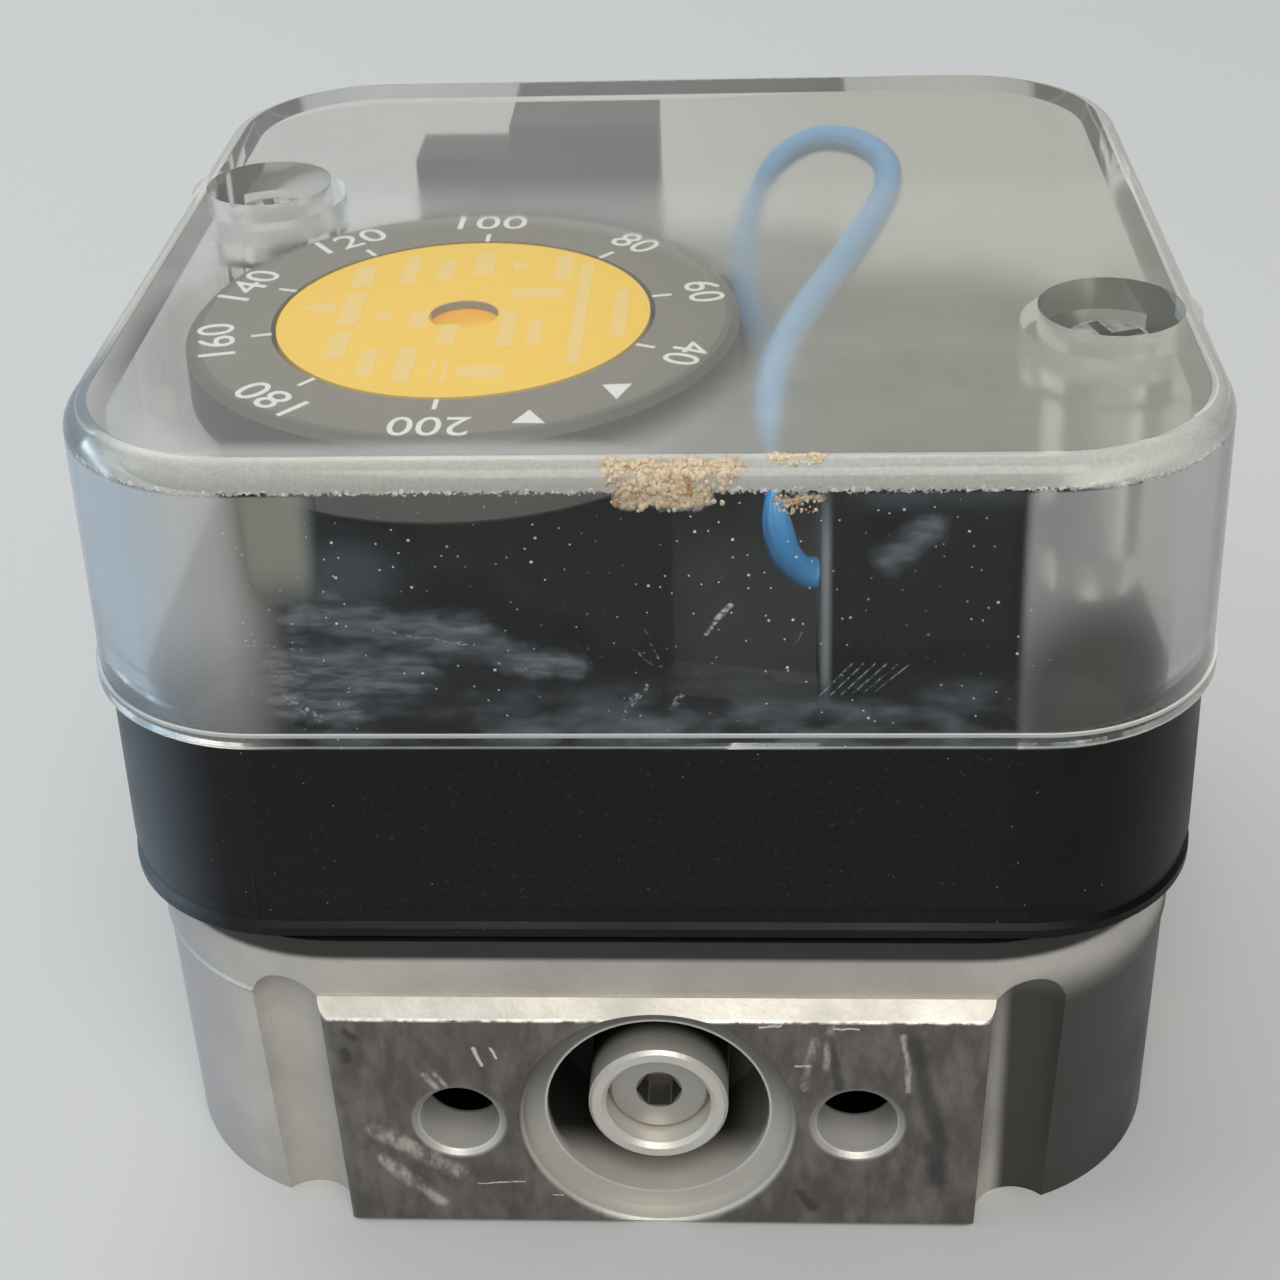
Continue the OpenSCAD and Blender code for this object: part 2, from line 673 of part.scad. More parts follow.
// Folded steel bracket that holds the microswitch to the floor
module switch_bracket() {
    back = micro_y + micro_d / 2;
    bracket_w = micro_w - 2;
    bracket_h = (micro_top - floor_z) * 0.65;
    foot = 6;
    t = 0.8;
    color([0.7, 0.7, 0.72]) translate([micro_x - bracket_w / 2, back, floor_z]) {
        cube([bracket_w, t, bracket_h]);
        difference() {
            cube([bracket_w, foot, t]);
            translate([bracket_w / 2, foot * 0.6, -cut]) cylinder(h = t + 2 * cut, r = 1.1);
        }
    }
}

// Stepped terminal block behind the dial: a low carrier, a middle step and a top step
module terminal_block() {
    block_back = housing_half - housing_wall;
    block_front = block_back - block_d;
    left = block_right - block_w;
    // Each step: left side, right side, top
    steps = [[left, pin_w / 2 + 1.4, plug_z + plug_h / 2 - 0.8], [left, block_right, lid_ceiling - 2.5],
        [block_right - block_top_w, block_right, lid_ceiling - 0.2]];
    color([0.13, 0.13, 0.14]) difference() {
        union()
            for (s = steps)
                translate([s[0], block_front, floor_z]) cube([s[1] - s[0], block_back - block_front, s[2] - floor_z]);
        for (i = [-1, 0])
            translate([i * pin_pitch - pin_w / 2 - 0.3, plug_y - pin_in - 0.6, plug_z - pin_t / 2 - 0.3])
                cube([pin_w + 0.6, pin_in + cut, pin_t + 0.6]);
    }
}

// Collar of the rear plug with its flange, set in the housing window
module plug_collar() {
    color([0.1, 0.1, 0.11])
        translate([0, plug_y, plug_z]) rotate([-90, 0, 0]) difference() {
            union() {
                rounded_block(plug_w, plug_h, plug_reach, 2);
                translate([0, 0, -housing_wall]) rounded_block(window_w, window_h, housing_wall + 0.2, 0.6);
            }
            translate([0, 0, 1.6]) rounded_block(plug_w - 2 * plug_wall, plug_h - 2 * plug_wall, plug_reach, 1);
            for (i = [-1:1])
                translate([i * pin_pitch - pin_w / 2, -pin_t / 2, -housing_wall - cut])
                    cube([pin_w, pin_t, housing_wall + 2 + 2 * cut]);
        }
}

// One flat pin through the collar floor, with a chamfered tip
module flat_pin(i) {
    translate([i * pin_pitch, plug_y, plug_z - pin_t / 2]) linear_extrude(pin_t)
        polygon([[-pin_w / 2, -pin_in], [pin_w / 2, -pin_in], [pin_w / 2, pin_out - 1], [pin_w / 2 - 1, pin_out],
            [-pin_w / 2 + 1, pin_out], [-pin_w / 2, pin_out - 1]]);
}

// Two switched pins of the rear plug
module plug_pins() {
    color([0.75, 0.73, 0.68]) {
        flat_pin(-1);
        flat_pin(0);
    }
}

// Third pin of the rear plug, which the blue lead meets
module earth_pin() {
    color([0.78, 0.68, 0.4]) flat_pin(1);
}

// Insulated lead held at both ends inside the lid
module blue_lead() {
    color([0.25, 0.5, 0.75]) tube_along(lead_route, lead_d / 2, 10);
}

// Section of the lid from its corner centre outward
module lid_section() {
    bead = 0.2;
    difference() {
        union() {
            translate([0, lid_z]) square([lid_corner_r, lid_h - lid_edge_r]);
            translate([0, lid_z]) square([lid_corner_r - lid_edge_r, lid_h]);
            translate([lid_corner_r - lid_edge_r, lid_top - lid_edge_r]) circle(lid_edge_r);
            translate([0, lid_z + 0.2]) square([lid_corner_r + bead, 0.8]);
        }
        translate([-cut, lid_z - cut]) square([lid_in + cut, lid_h - lid_wall + cut]);
    }
}

// Clear lid with its two recessed screw bosses
module lid() {
    color([0.8, 0.82, 0.8, 0.45])
        difference() {
            union() {
                around(lid_c) lid_section();
                translate([-lid_c, -lid_c, lid_ceiling]) cube([2 * lid_c, 2 * lid_c, lid_wall]);
                for (p = lid_screws_at) translate([p[0], p[1], 0]) {
                    translate([0, 0, lid_z]) cylinder(h = lid_ceiling - lid_z + 0.5, r = boss_r);
                    translate([0, 0, lid_top - lid_recess_depth - 1.2])
                        cylinder(h = lid_recess_depth + 1, r = lid_recess_r + recess_wall);
                }
            }
            for (p = lid_screws_at) translate([p[0], p[1], 0]) {
                translate([0, 0, lid_top - lid_recess_depth]) cylinder(h = lid_recess_depth + cut, r = lid_recess_r);
                translate([0, 0, lid_z - cut]) cylinder(h = lid_h, r = screw_r + screw_gap);
            }
        }
}

// Two pan-head screws that hold the lid
module lid_screws() {
    seat = lid_top - lid_recess_depth;
    color([0.75, 0.75, 0.76])
        for (p = lid_screws_at)
            translate([p[0], p[1], 0]) difference() {
                union() {
                    translate([0, 0, seat]) cylinder(h = head_t - 0.8, r = head_r);
                    translate([0, 0, seat + head_t - 0.8]) cylinder(h = 0.8, r1 = head_r, r2 = head_r - 0.8);
                    translate([0, 0, housing_top - insert_len + 1]) cylinder(h = seat - housing_top + insert_len - 0.9, r = screw_r);
                }
                for (turn = [20, 110])
                    rotate([0, 0, turn]) translate([-2, -0.35, seat + head_t - 1.2]) cube([4, 0.7, 2]);
            }
}

// Brass inserts in the two posts
module screw_inserts() {
    color([0.75, 0.6, 0.3])
        for (p = lid_screws_at)
            translate([p[0], p[1], housing_top - insert_len]) difference() {
                cylinder(h = insert_len, r = insert_r);
                translate([0, 0, -cut]) cylinder(h = insert_len + 2 * cut, r = screw_r);
            }
}

base_housing();
nozzle_screw();
diaphragm();
diaphragm_plate();
diaphragm_washer();
actuator_arm();
adjusting_spring();
spring_nut();
switch_housing();
housing_screws();
setting_wheel();
pointer_disc();
micro_switch();
switch_plunger();
switch_bracket();
terminal_block();
plug_collar();
plug_pins();
earth_pin();
blue_lead();
lid();
lid_gasket();
lid_screws();
screw_inserts();
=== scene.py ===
import math
import random

import bmesh
import bpy
from mathutils import Matrix, Vector


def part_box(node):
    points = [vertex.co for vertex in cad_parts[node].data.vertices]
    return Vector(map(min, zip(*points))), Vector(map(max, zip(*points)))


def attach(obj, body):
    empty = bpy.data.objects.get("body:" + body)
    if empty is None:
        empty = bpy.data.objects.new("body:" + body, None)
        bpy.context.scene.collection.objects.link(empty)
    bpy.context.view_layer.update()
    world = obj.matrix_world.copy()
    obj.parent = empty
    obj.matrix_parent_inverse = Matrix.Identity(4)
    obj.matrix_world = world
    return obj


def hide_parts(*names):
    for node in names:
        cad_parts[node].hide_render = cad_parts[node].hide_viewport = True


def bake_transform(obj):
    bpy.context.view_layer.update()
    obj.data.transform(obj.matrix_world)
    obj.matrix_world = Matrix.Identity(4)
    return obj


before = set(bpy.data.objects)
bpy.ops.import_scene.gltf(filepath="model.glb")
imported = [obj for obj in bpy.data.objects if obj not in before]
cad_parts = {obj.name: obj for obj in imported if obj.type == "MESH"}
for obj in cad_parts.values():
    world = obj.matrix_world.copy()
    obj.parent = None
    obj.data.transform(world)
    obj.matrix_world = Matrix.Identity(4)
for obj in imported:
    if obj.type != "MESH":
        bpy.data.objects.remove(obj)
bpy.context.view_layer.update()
MM = 0.001

# ---------------------------------------------------------------- Camera, light and floor
# The camera stands where the photograph was taken: close in front, above the lid, a little to the right.
# The switch stands on pale paper in a plain room that is bright above and behind it, bluish on the left.
CAMERA_PLACE = Vector((5.79, -122.32, 97.2)) * MM
CAMERA_PITCH = math.radians(26.09)
CAMERA_YAW = math.radians(-3.34)
CAMERA_ROLL = math.radians(-1.98)
PICTURE_W = 1280
FOCAL_PX = 2214.85
CENTRE_ROW = 400
SENSOR = 36

forward = Vector((math.sin(CAMERA_YAW) * math.cos(CAMERA_PITCH),
                  math.cos(CAMERA_YAW) * math.cos(CAMERA_PITCH),
                  -math.sin(CAMERA_PITCH)))
level = Vector((math.cos(CAMERA_YAW), -math.sin(CAMERA_YAW), 0))
upright = level.cross(forward)
across = math.cos(CAMERA_ROLL) * level + math.sin(CAMERA_ROLL) * upright
above = math.cos(CAMERA_ROLL) * upright - math.sin(CAMERA_ROLL) * level

lens = bpy.data.cameras.new("camera")
lens.sensor_width = SENSOR
lens.lens = FOCAL_PX / PICTURE_W * SENSOR
lens.shift_y = (CENTRE_ROW - PICTURE_W / 2) / PICTURE_W
lens.clip_start = 0.01
camera = bpy.data.objects.new("camera", lens)
turn = Matrix((across, above, -forward)).transposed().to_4x4()
camera.matrix_world = Matrix.Translation(CAMERA_PLACE) @ turn
bpy.context.collection.objects.link(camera)
bpy.context.scene.camera = camera
bpy.context.scene.view_settings.view_transform = "Standard"

LIT_SPOT = Vector((0, 0, 30)) * MM


def soft_panel(name, place, size, power, colour):
    """A square area lamp that looks at the switch."""
    lamp = bpy.data.lights.new(name, "AREA")
    lamp.size = size
    lamp.energy = power
    lamp.color = colour
    panel = bpy.data.objects.new(name, lamp)
    panel.location = place
    panel.rotation_euler = (LIT_SPOT - Vector(place)).to_track_quat("-Z", "Y").to_euler()
    bpy.context.collection.objects.link(panel)


soft_panel("window_panel", place=(-0.2, 0.4, 0.65), size=0.6, power=2.3, colour=(1.0, 0.98, 0.94))
soft_panel("left_panel", place=(-0.55, -0.05, 0.3), size=0.35, power=1.0, colour=(0.62, 0.82, 1.0))
soft_panel("front_panel", place=(0.08, -0.52, 0.72), size=0.5, power=4.4, colour=(1.0, 0.965, 0.91))


class Shades:
    """A node tree with short ways to add the nodes that finishes and the room are made of."""

    def __init__(self, tree, place):
        self.nodes = tree.nodes
        self.links = tree.links
        self.place = self.nodes.new("ShaderNodeTexCoord").outputs[place]

    def feed(self, socket, value):
        """Links an output to a socket, or sets it where the value is a number or a colour."""
        if isinstance(value, bpy.types.NodeSocket):
            self.links.new(value, socket)
        else:
            socket.default_value = value

    def maths(self, operation, a, b=0.0, clamp=False):
        """One sum of two values."""
        node = self.nodes.new("ShaderNodeMath")
        node.operation = operation
        node.use_clamp = clamp
        self.feed(node.inputs[0], a)
        self.feed(node.inputs[1], b)
        return node.outputs[0]

    def both(self, *masks):
        """1 where every mask is 1; a number among them is the strength of the result."""
        total = masks[0]
        for mask in masks[1:]:
            total = self.maths("MULTIPLY", total, mask)
        return total

    def either(self, *masks):
        """1 where any mask is 1."""
        total = masks[0]
        for mask in masks[1:]:
            total = self.maths("MAXIMUM", total, mask)
        return total

    def band(self, value, low, high, to_low=0.0, to_high=1.0):
        """A smooth step from to_low to to_high as the value goes from low to high."""
        node = self.nodes.new("ShaderNodeMapRange")
        node.interpolation_type = "SMOOTHSTEP"
        self.feed(node.inputs["Value"], value)
        node.inputs["From Min"].default_value = low
        node.inputs["From Max"].default_value = high
        node.inputs["To Min"].default_value = to_low
        node.inputs["To Max"].default_value = to_high
        return node.outputs["Result"]

    def blend(self, factor, a, b):
        """Colour a where the factor is 0, colour b where it is 1."""
        node = self.nodes.new("ShaderNodeMix")
        node.data_type = "RGBA"
        self.feed(node.inputs["Factor"], factor)
        self.feed(node.inputs["A"], a)
        self.feed(node.inputs["B"], b)
        return node.outputs["Result"]

    def axes(self):
        """The place's x, y and z."""
        node = self.nodes.new("ShaderNodeSeparateXYZ")
        self.links.new(self.place, node.inputs["Vector"])
        return node.outputs["X"], node.outputs["Y"], node.outputs["Z"]

    def rays(self, *kinds):
        """1 for rays of the named kinds."""
        path = self.nodes.new("ShaderNodeLightPath")
        return self.either(*[path.outputs[f"Is {kind} Ray"] for kind in kinds])


SKY_LIGHT = (0.42, 0.45, 0.50, 1)
SKY_SEEN = (0.86, 0.88, 0.90, 1)
ROOM_FRONT = (0.17, 0.17, 0.17, 1)
ROOM_BACK = (0.50, 0.50, 0.48, 1)
ROOM_RIGHT = (0.12, 0.12, 0.12, 1)
ROOM_LEFT = (0.46, 0.56, 0.64, 1)
ROOM_ABOVE = (0.82, 0.81, 0.78, 1)
world = bpy.data.worlds.new("pale_room")
bpy.context.scene.world = world
world.use_nodes = True
room = Shades(world.node_tree, "Generated")
x, y, z = room.axes()
# Shiny pieces mirror a room whose front, back, right, left and ceiling each have a tone of their own.
mirrored = room.blend(room.band(y, -0.2, 0.4), ROOM_FRONT, ROOM_BACK)
mirrored = room.blend(room.band(x, 0.35, 0.8), mirrored, ROOM_RIGHT)
mirrored = room.blend(room.band(x, -0.3, -0.75), mirrored, ROOM_LEFT)
mirrored = room.blend(room.band(z, 0.55, 0.85), mirrored, ROOM_ABOVE)
sky = room.blend(room.rays("Camera", "Transmission"), SKY_LIGHT, SKY_SEEN)
sky = room.blend(room.rays("Glossy"), sky, mirrored)
room.links.new(sky, room.nodes["Background"].inputs["Color"])

FLOOR_SIZE = 3.0
FLOOR_LIT = (0.30, 0.29, 0.28, 1)
FLOOR_SEEN = (0.53, 0.53, 0.515, 1)
PAPER_ROUGHNESS = 0.9
PAPER_GLOSS = 0.1
bm = bmesh.new()
bmesh.ops.create_grid(bm, x_segments=1, y_segments=1, size=FLOOR_SIZE / 2)
floor_mesh = bpy.data.meshes.new("floor")
bm.to_mesh(floor_mesh)
bm.free()
floor = bpy.data.objects.new("floor", floor_mesh)
bpy.context.collection.objects.link(floor)
paper = bpy.data.materials.new("floor_paper")
paper.use_nodes = True
sheet = paper.node_tree.nodes["Principled BSDF"]
sheet.inputs["Roughness"].default_value = PAPER_ROUGHNESS
sheet.inputs["Specular IOR Level"].default_value = PAPER_GLOSS
tone = Shades(paper.node_tree, "Object")
seen = tone.rays("Camera", "Glossy", "Transmission")
tone.links.new(tone.blend(seen, FLOOR_LIT, FLOOR_SEEN), sheet.inputs["Base Color"])
floor_mesh.materials.append(paper)

# ---------------------------------------------------------------- Base casting
# The foot of the switch is a pressure die casting in aluminium, grey and a little grainy from the die. Four
# screws from below hold it to the housing. The pad in front is milled flat, dark with use, and scratched by
# the flange it was bolted to; the recess in it takes a sealing ring round the gas port.
CAST_GREY = (0.58, 0.55, 0.495, 1)
CAST_DARK = (0.43, 0.405, 0.365, 1)
CAST_BRIGHT = (0.68, 0.65, 0.59, 1)
CAST_SHADE = (0.045, 0.042, 0.038, 1)
CAST_BLUE_LIGHT = (0.42, 0.42, 0.455, 1)
PAD_DARK = (0.115, 0.104, 0.090, 1)
PAD_GREY = (0.215, 0.197, 0.170, 1)
PAD_SCUFF = (0.56, 0.53, 0.46, 1)
PAD_STAIN = (0.045, 0.043, 0.042, 1)
LEDGE_CREAM = (0.52, 0.495, 0.44, 1)
LEDGE_DULL = (0.47, 0.44, 0.39, 1)
SCRATCH_BRIGHT = (0.74, 0.71, 0.64, 1)
EDGE_HIGHLIGHT = (0.80, 0.78, 0.72, 1)
PORT_LIT_GREY = (0.70, 0.675, 0.61, 1)
PORT_SHADE = (0.032, 0.029, 0.025, 1)
SEAT_LIT_GREY = (0.57, 0.55, 0.50, 1)
SEAT_SHADE = (0.20, 0.19, 0.17, 1)
HOLE_BRIGHT = (0.70, 0.68, 0.63, 1)
CHANNEL_SHADE = (0.004, 0.004, 0.004, 1)


class Finish(Shades):
    """A material with its Principled shader, on the object coordinates of the piece."""

    def __init__(self, name, colour, roughness, metallic=0.0):
        self.material = bpy.data.materials.new(name)
        self.material.use_nodes = True
        super().__init__(self.material.node_tree, "Object")
        self.shader = self.nodes["Principled BSDF"]
        self.shader.inputs["Base Color"].default_value = colour
        self.shader.inputs["Roughness"].default_value = roughness
        self.shader.inputs["Metallic"].default_value = metallic

    def vector(self, operation, a, b=None, scale=None):
        """One vector sum, which gives a number for a length or a product."""
        node = self.nodes.new("ShaderNodeVectorMath")
        node.operation = operation
        self.feed(node.inputs[0], a)
        if b is not None:
            self.feed(node.inputs[1], b)
        if scale is not None:
            self.feed(node.inputs["Scale"], scale)
        single = operation in ("LENGTH", "DOT_PRODUCT", "DISTANCE")
        return node.outputs["Value" if single else "Vector"]

    def stretched(self, scale, turn=(0, 0, 0)):
        """The place, turned and then scaled along each axis."""
        node = self.nodes.new("ShaderNodeMapping")
        node.inputs["Scale"].default_value = scale
        node.inputs["Rotation"].default_value = turn
        self.links.new(self.place, node.inputs["Vector"])
        return node.outputs["Vector"]

    def noise(self, size, detail=3.0, rough=0.5, along=(1, 1, 1), turn=(0, 0, 0), output="Fac"):
        """Noise whose grain is about size metres, stretched where along is below 1."""
        node = self.nodes.new("ShaderNodeTexNoise")
        node.inputs["Scale"].default_value = 1 / size
        node.inputs["Detail"].default_value = detail
        node.inputs["Roughness"].default_value = rough
        self.links.new(self.stretched(along, turn), node.inputs["Vector"])
        return node.outputs[output]

    def ragged(self, size, amount):
        """The place, pushed about by noise so that what is drawn with it gets ragged edges."""
        push = self.vector("SUBTRACT", self.noise(size, 3, 0.6, output="Color"), (0.5, 0.5, 0.5))
        return self.vector("ADD", self.place, self.vector("SCALE", push, scale=amount))

    def specks(self, spacing, size, across_x, across_y):
        """Round specks about size metres wide on a flat face, one per cell of a Voronoi pattern."""
        flat = self.nodes.new("ShaderNodeCombineXYZ")
        self.feed(flat.inputs["X"], across_x)
        self.feed(flat.inputs["Y"], across_y)
        node = self.nodes.new("ShaderNodeTexVoronoi")
        node.voronoi_dimensions = "2D"
        node.inputs["Scale"].default_value = 1 / spacing
        self.links.new(flat.outputs["Vector"], node.inputs["Vector"])
        return self.band(node.outputs["Distance"], size / spacing, 0.4 * size / spacing)

    def away(self, centre, weights=(1, 1, 1)):
        """Distance from a centre, with each axis weighted."""
        offset = self.vector("SUBTRACT", self.place, centre)
        return self.vector("LENGTH", self.vector("MULTIPLY", offset, weights))

    def streak(self, start, end, width, soft=0.5, place=None):
        """1 along a straight line between two places, 0 beside it."""
        start, end = Vector(start), Vector(end)
        run = end - start
        from_start = self.vector("SUBTRACT", place or self.place, start)
        along = self.vector("DOT_PRODUCT", from_start, run)
        along = self.maths("DIVIDE", along, run.length_squared, clamp=True)
        nearest = self.vector("SCALE", run, scale=along)
        off_line = self.vector("DISTANCE", from_start, nearest)
        return self.band(off_line, width, width * (1 - soft) * 0.5)

    def front_strokes(self, y, strokes, place=None):
        """Streaks on an upright face at that y, each given in mm as x, z, x, z and width."""
        streaks = []
        for x0, z0, x1, z1, width in strokes:
            start = (x0 * MM, y, z0 * MM)
            end = (x1 * MM, y, z1 * MM)
            streaks.append(self.streak(start, end, width * MM, 0.6, place))
        return self.either(*streaks)

    def colour(self, value):
        """Sets the base colour, or links it."""
        self.feed(self.shader.inputs["Base Color"], value)

    def rough(self, value):
        """Sets the roughness, or links it."""
        self.feed(self.shader.inputs["Roughness"], value)

    def relief(self, height, depth):
        """Bump of that depth in metres."""
        node = self.nodes.new("ShaderNodeBump")
        node.inputs["Distance"].default_value = depth
        self.feed(node.inputs["Height"], height)
        self.links.new(node.outputs["Normal"], self.shader.inputs["Normal"])


def dress(piece, finish):
    """Gives a piece its finish as its only material."""
    piece.data.materials.clear()
    piece.data.materials.append(finish.material)


def wear(finish, *nodes):
    """Gives CAD nodes their finish in place of the plain colour."""
    for node in nodes:
        dress(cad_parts[node], finish)


def piece_from(bm, name):
    """A bmesh as an object in the scene."""
    mesh = bpy.data.meshes.new(name)
    bm.to_mesh(mesh)
    bm.free()
    piece = bpy.data.objects.new(name, mesh)
    bpy.context.collection.objects.link(piece)
    return piece


MERGE_WITHIN = 0.002 * MM


def smoothed_copy(node, name, angle):
    """A CAD node with its corners merged, smooth where its faces meet at less than that angle in degrees."""
    bm = bmesh.new()
    bm.from_mesh(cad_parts[node].data)
    bmesh.ops.remove_doubles(bm, verts=bm.verts, dist=MERGE_WITHIN)
    for face in bm.faces:
        face.smooth = True
    for edge in bm.edges:
        edge.smooth = edge.calc_face_angle(0) < math.radians(angle)
    piece = piece_from(bm, name)
    flats = piece.modifiers.new("flats", "WEIGHTED_NORMAL")
    flats.keep_sharp = True
    return piece


def put(piece, finish, body, slot, *replaced):
    """Finish, body and the nodes that a new piece stands for. The slot is not used."""
    dress(piece, finish)
    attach(piece, body)
    if replaced:
        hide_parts(*replaced)


BASE_SIDE_Y = -29.3 * MM
PAD_TOP = 15.7 * MM
CHAMFER_FOOT = 14.8 * MM
LIP_SHADE_Z = 17.9 * MM
PAD_PLATE_T = 3 * MM
PORT_R = 7.7 * MM
PORT_SEAT_R = 6.25 * MM
PORT_TUBE_R = 3.95 * MM
TUBE_RIM_R = 3.7 * MM
PORT_LIT_DEPTH = 9 * MM
SCREW_HOLE_R = 2.35 * MM
SCREW_CHANNEL_R = 3.95 * MM
SCREW_FROM_PORT = 11 * MM
pad_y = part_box("base_housing")[0][1]
PORT_AXIS = Vector((0, pad_y, 7.6 * MM))
SCREW_AXES = [PORT_AXIS + Vector((side * SCREW_FROM_PORT, 0, 0)) for side in (-1, 1)]

# Strokes on the pad in mm: x and z of one end, x and z of the other end, and the width.
SCUFFS = (
    (-15.8, 6.9, -11.3, 3.9, 0.75), (-15.4, 4.7, -12.5, 1.7, 0.6), (-14.6, 6.2, -12.6, 5.2, 0.7),
    (-12.7, 11, -11.7, 9.2, 0.28), (-12.2, 11.2, -11.4, 9.8, 0.18), (8.1, 10.2, 8.6, 13.6, 0.35),
    (9.2, 11.6, 9.5, 14.6, 0.32), (13.4, 13.9, 13.8, 10, 0.26))
SCRATCHES = (
    (-9.9, 12.9, -9.5, 11.7, 0.17), (-8.95, 12.9, -8.65, 12.2, 0.13), (5.7, 14.5, 6.8, 14.6, 0.12),
    (9.7, 14.4, 11, 14.4, 0.10), (7.6, 11.8, 8.4, 11.8, 0.09), (-11.7, 9.4, -11.2, 8.7, 0.1),
    (-6, 2.2, -2.6, 2.0, 0.08), (-10.2, 3.0, -7.6, 3.2, 0.07))
STAINS = (
    (14, 13.4, 14.8, 9.2, 0.7), (14.9, 9.2, 15.6, 6.2, 0.8), (15.4, 6, 15.4, 3.6, 0.9),
    (-17, 12.6, -16.9, 12, 0.4), (-16.8, 14, -16.4, 13.6, 0.35), (9.4, 13.8, 10, 10.2, 0.4),
    (7.8, 2.6, 8.6, 1.4, 0.5))

casting = Finish("cast_aluminium_worn", CAST_GREY, 0.48, 0.5)
x, y, z = casting.axes()

# The bare casting is cloudy, with painted bluish light on its left side. Painted shade darkens its right side
# beside the pad and the band under the housing's lip.
grain = casting.noise(0.35 * MM, 4, 0.6)
clouds = casting.noise(7 * MM, 3, 0.55)
metal = casting.blend(casting.band(clouds, 0.35, 0.7), CAST_DARK, CAST_BRIGHT)
metal = casting.blend(0.5, metal, CAST_GREY)
dark_grain = casting.both(casting.band(grain, 0.60, 0.72), 0.5)
metal = casting.blend(dark_grain, metal, CAST_DARK)
blue_lit_side = casting.both(casting.band(x, -21 * MM, -27 * MM), 0.6)
metal = casting.blend(blue_lit_side, metal, CAST_BLUE_LIGHT)
right_side_shade = casting.both(
    casting.band(x, 18.6 * MM, 19.6 * MM),
    casting.band(z, 17.5 * MM, 14 * MM),
    casting.band(y, -14 * MM, -21 * MM), 0.95)
metal = casting.blend(right_side_shade, metal, CAST_SHADE)
under_lip_shade = casting.band(z, LIP_SHADE_Z, LIP_SHADE_Z + 0.5 * MM)
metal = casting.blend(under_lip_shade, metal, CAST_SHADE)

# The pad is smeared grey, with rubbed scuffs, a few bright scratches and dark stains.
smears = casting.noise(1.6 * MM, 5, 0.65, (1, 1, 0.45), (0, math.radians(25), 0))
blotches = casting.noise(4.5 * MM, 4, 0.6, (1, 1, 0.6))
pad_tone = casting.blend(casting.band(smears, 0.35, 0.70), PAD_DARK, PAD_GREY)
dark_blotches = casting.both(casting.band(blotches, 0.52, 0.66), 0.55)
pad_tone = casting.blend(dark_blotches, pad_tone, PAD_DARK)
rough_place = casting.ragged(1.2 * MM, 0.6 * MM)
scuffs = casting.both(
    casting.front_strokes(pad_y, SCUFFS, rough_place),
    casting.band(casting.noise(0.45 * MM, 3, 0.6, (1, 1, 0.5)), 0.36, 0.60, 0.25, 1.0),
    casting.band(smears, 0.25, 0.6, 0.3, 0.9))
pad_tone = casting.blend(scuffs, pad_tone, PAD_SCUFF)
scratches = casting.front_strokes(pad_y, SCRATCHES, casting.ragged(0.4 * MM, 0.25 * MM))
pad_tone = casting.blend(scratches, pad_tone, SCRATCH_BRIGHT)
stains = casting.both(casting.front_strokes(pad_y, STAINS, rough_place), 0.7)
pad_tone = casting.blend(stains, pad_tone, PAD_STAIN)

# The port is turned bright, and its grey is partly painted light. Painted shade darkens its upper half,
# deepest round the tube, and the seat ring towards its top.
from_port = casting.away(PORT_AXIS, (1, 0, 1))
in_port = casting.band(from_port, PORT_R, PORT_R - 0.25 * MM)
behind_pad = casting.maths("SUBTRACT", y, pad_y)
shade_height = casting.maths("ADD", z, behind_pad)
shade_around_tube = casting.both(
    casting.band(from_port, PORT_TUBE_R, PORT_TUBE_R + 0.1 * MM),
    casting.band(behind_pad, 1.3 * MM, 2 * MM),
    casting.band(shade_height, PORT_AXIS.z - 3.0 * MM, PORT_AXIS.z + 0.2 * MM),
    casting.band(x, 6.4 * MM, 3.6 * MM, 0.55, 1.0))
shade_behind_rim = casting.both(
    casting.band(from_port, TUBE_RIM_R, TUBE_RIM_R + 0.1 * MM),
    casting.band(behind_pad, 2.6 * MM, 3.9 * MM),
    casting.band(z, PORT_AXIS.z, PORT_AXIS.z + 0.5 * MM))
seat_shade_rise = casting.band(z, PORT_AXIS.z - 3 * MM, PORT_AXIS.z + 3.5 * MM)
seat_painted_shading = casting.blend(seat_shade_rise, SEAT_LIT_GREY, SEAT_SHADE)
on_seat = casting.band(from_port, PORT_SEAT_R, PORT_SEAT_R + 0.15 * MM)
port_tone = casting.blend(on_seat, PORT_LIT_GREY, seat_painted_shading)
port_tone = casting.blend(casting.either(shade_around_tube, shade_behind_rim), port_tone, PORT_SHADE)

# The port and the rims of the two screw holes show through the pad's dirt.
from_screw = casting.maths("MINIMUM", *[casting.away(axis, (1, 0, 1)) for axis in SCREW_AXES])
hole_rims = casting.band(from_screw, SCREW_HOLE_R + 0.4 * MM, SCREW_HOLE_R + 0.1 * MM)
pad_tone = casting.blend(casting.either(in_port, hole_rims), pad_tone, port_tone)
on_pad = casting.both(
    casting.band(y, pad_y + 0.75 * MM, pad_y + 0.35 * MM),
    casting.band(z, CHAMFER_FOOT + 0.08 * MM, CHAMFER_FOOT))
metal = casting.blend(on_pad, metal, pad_tone)
port_lit_y = BASE_SIDE_Y + PORT_LIT_DEPTH
in_bore = casting.both(in_port, casting.band(y, port_lit_y + 3 * MM, port_lit_y))
metal = casting.blend(in_bore, metal, port_tone)
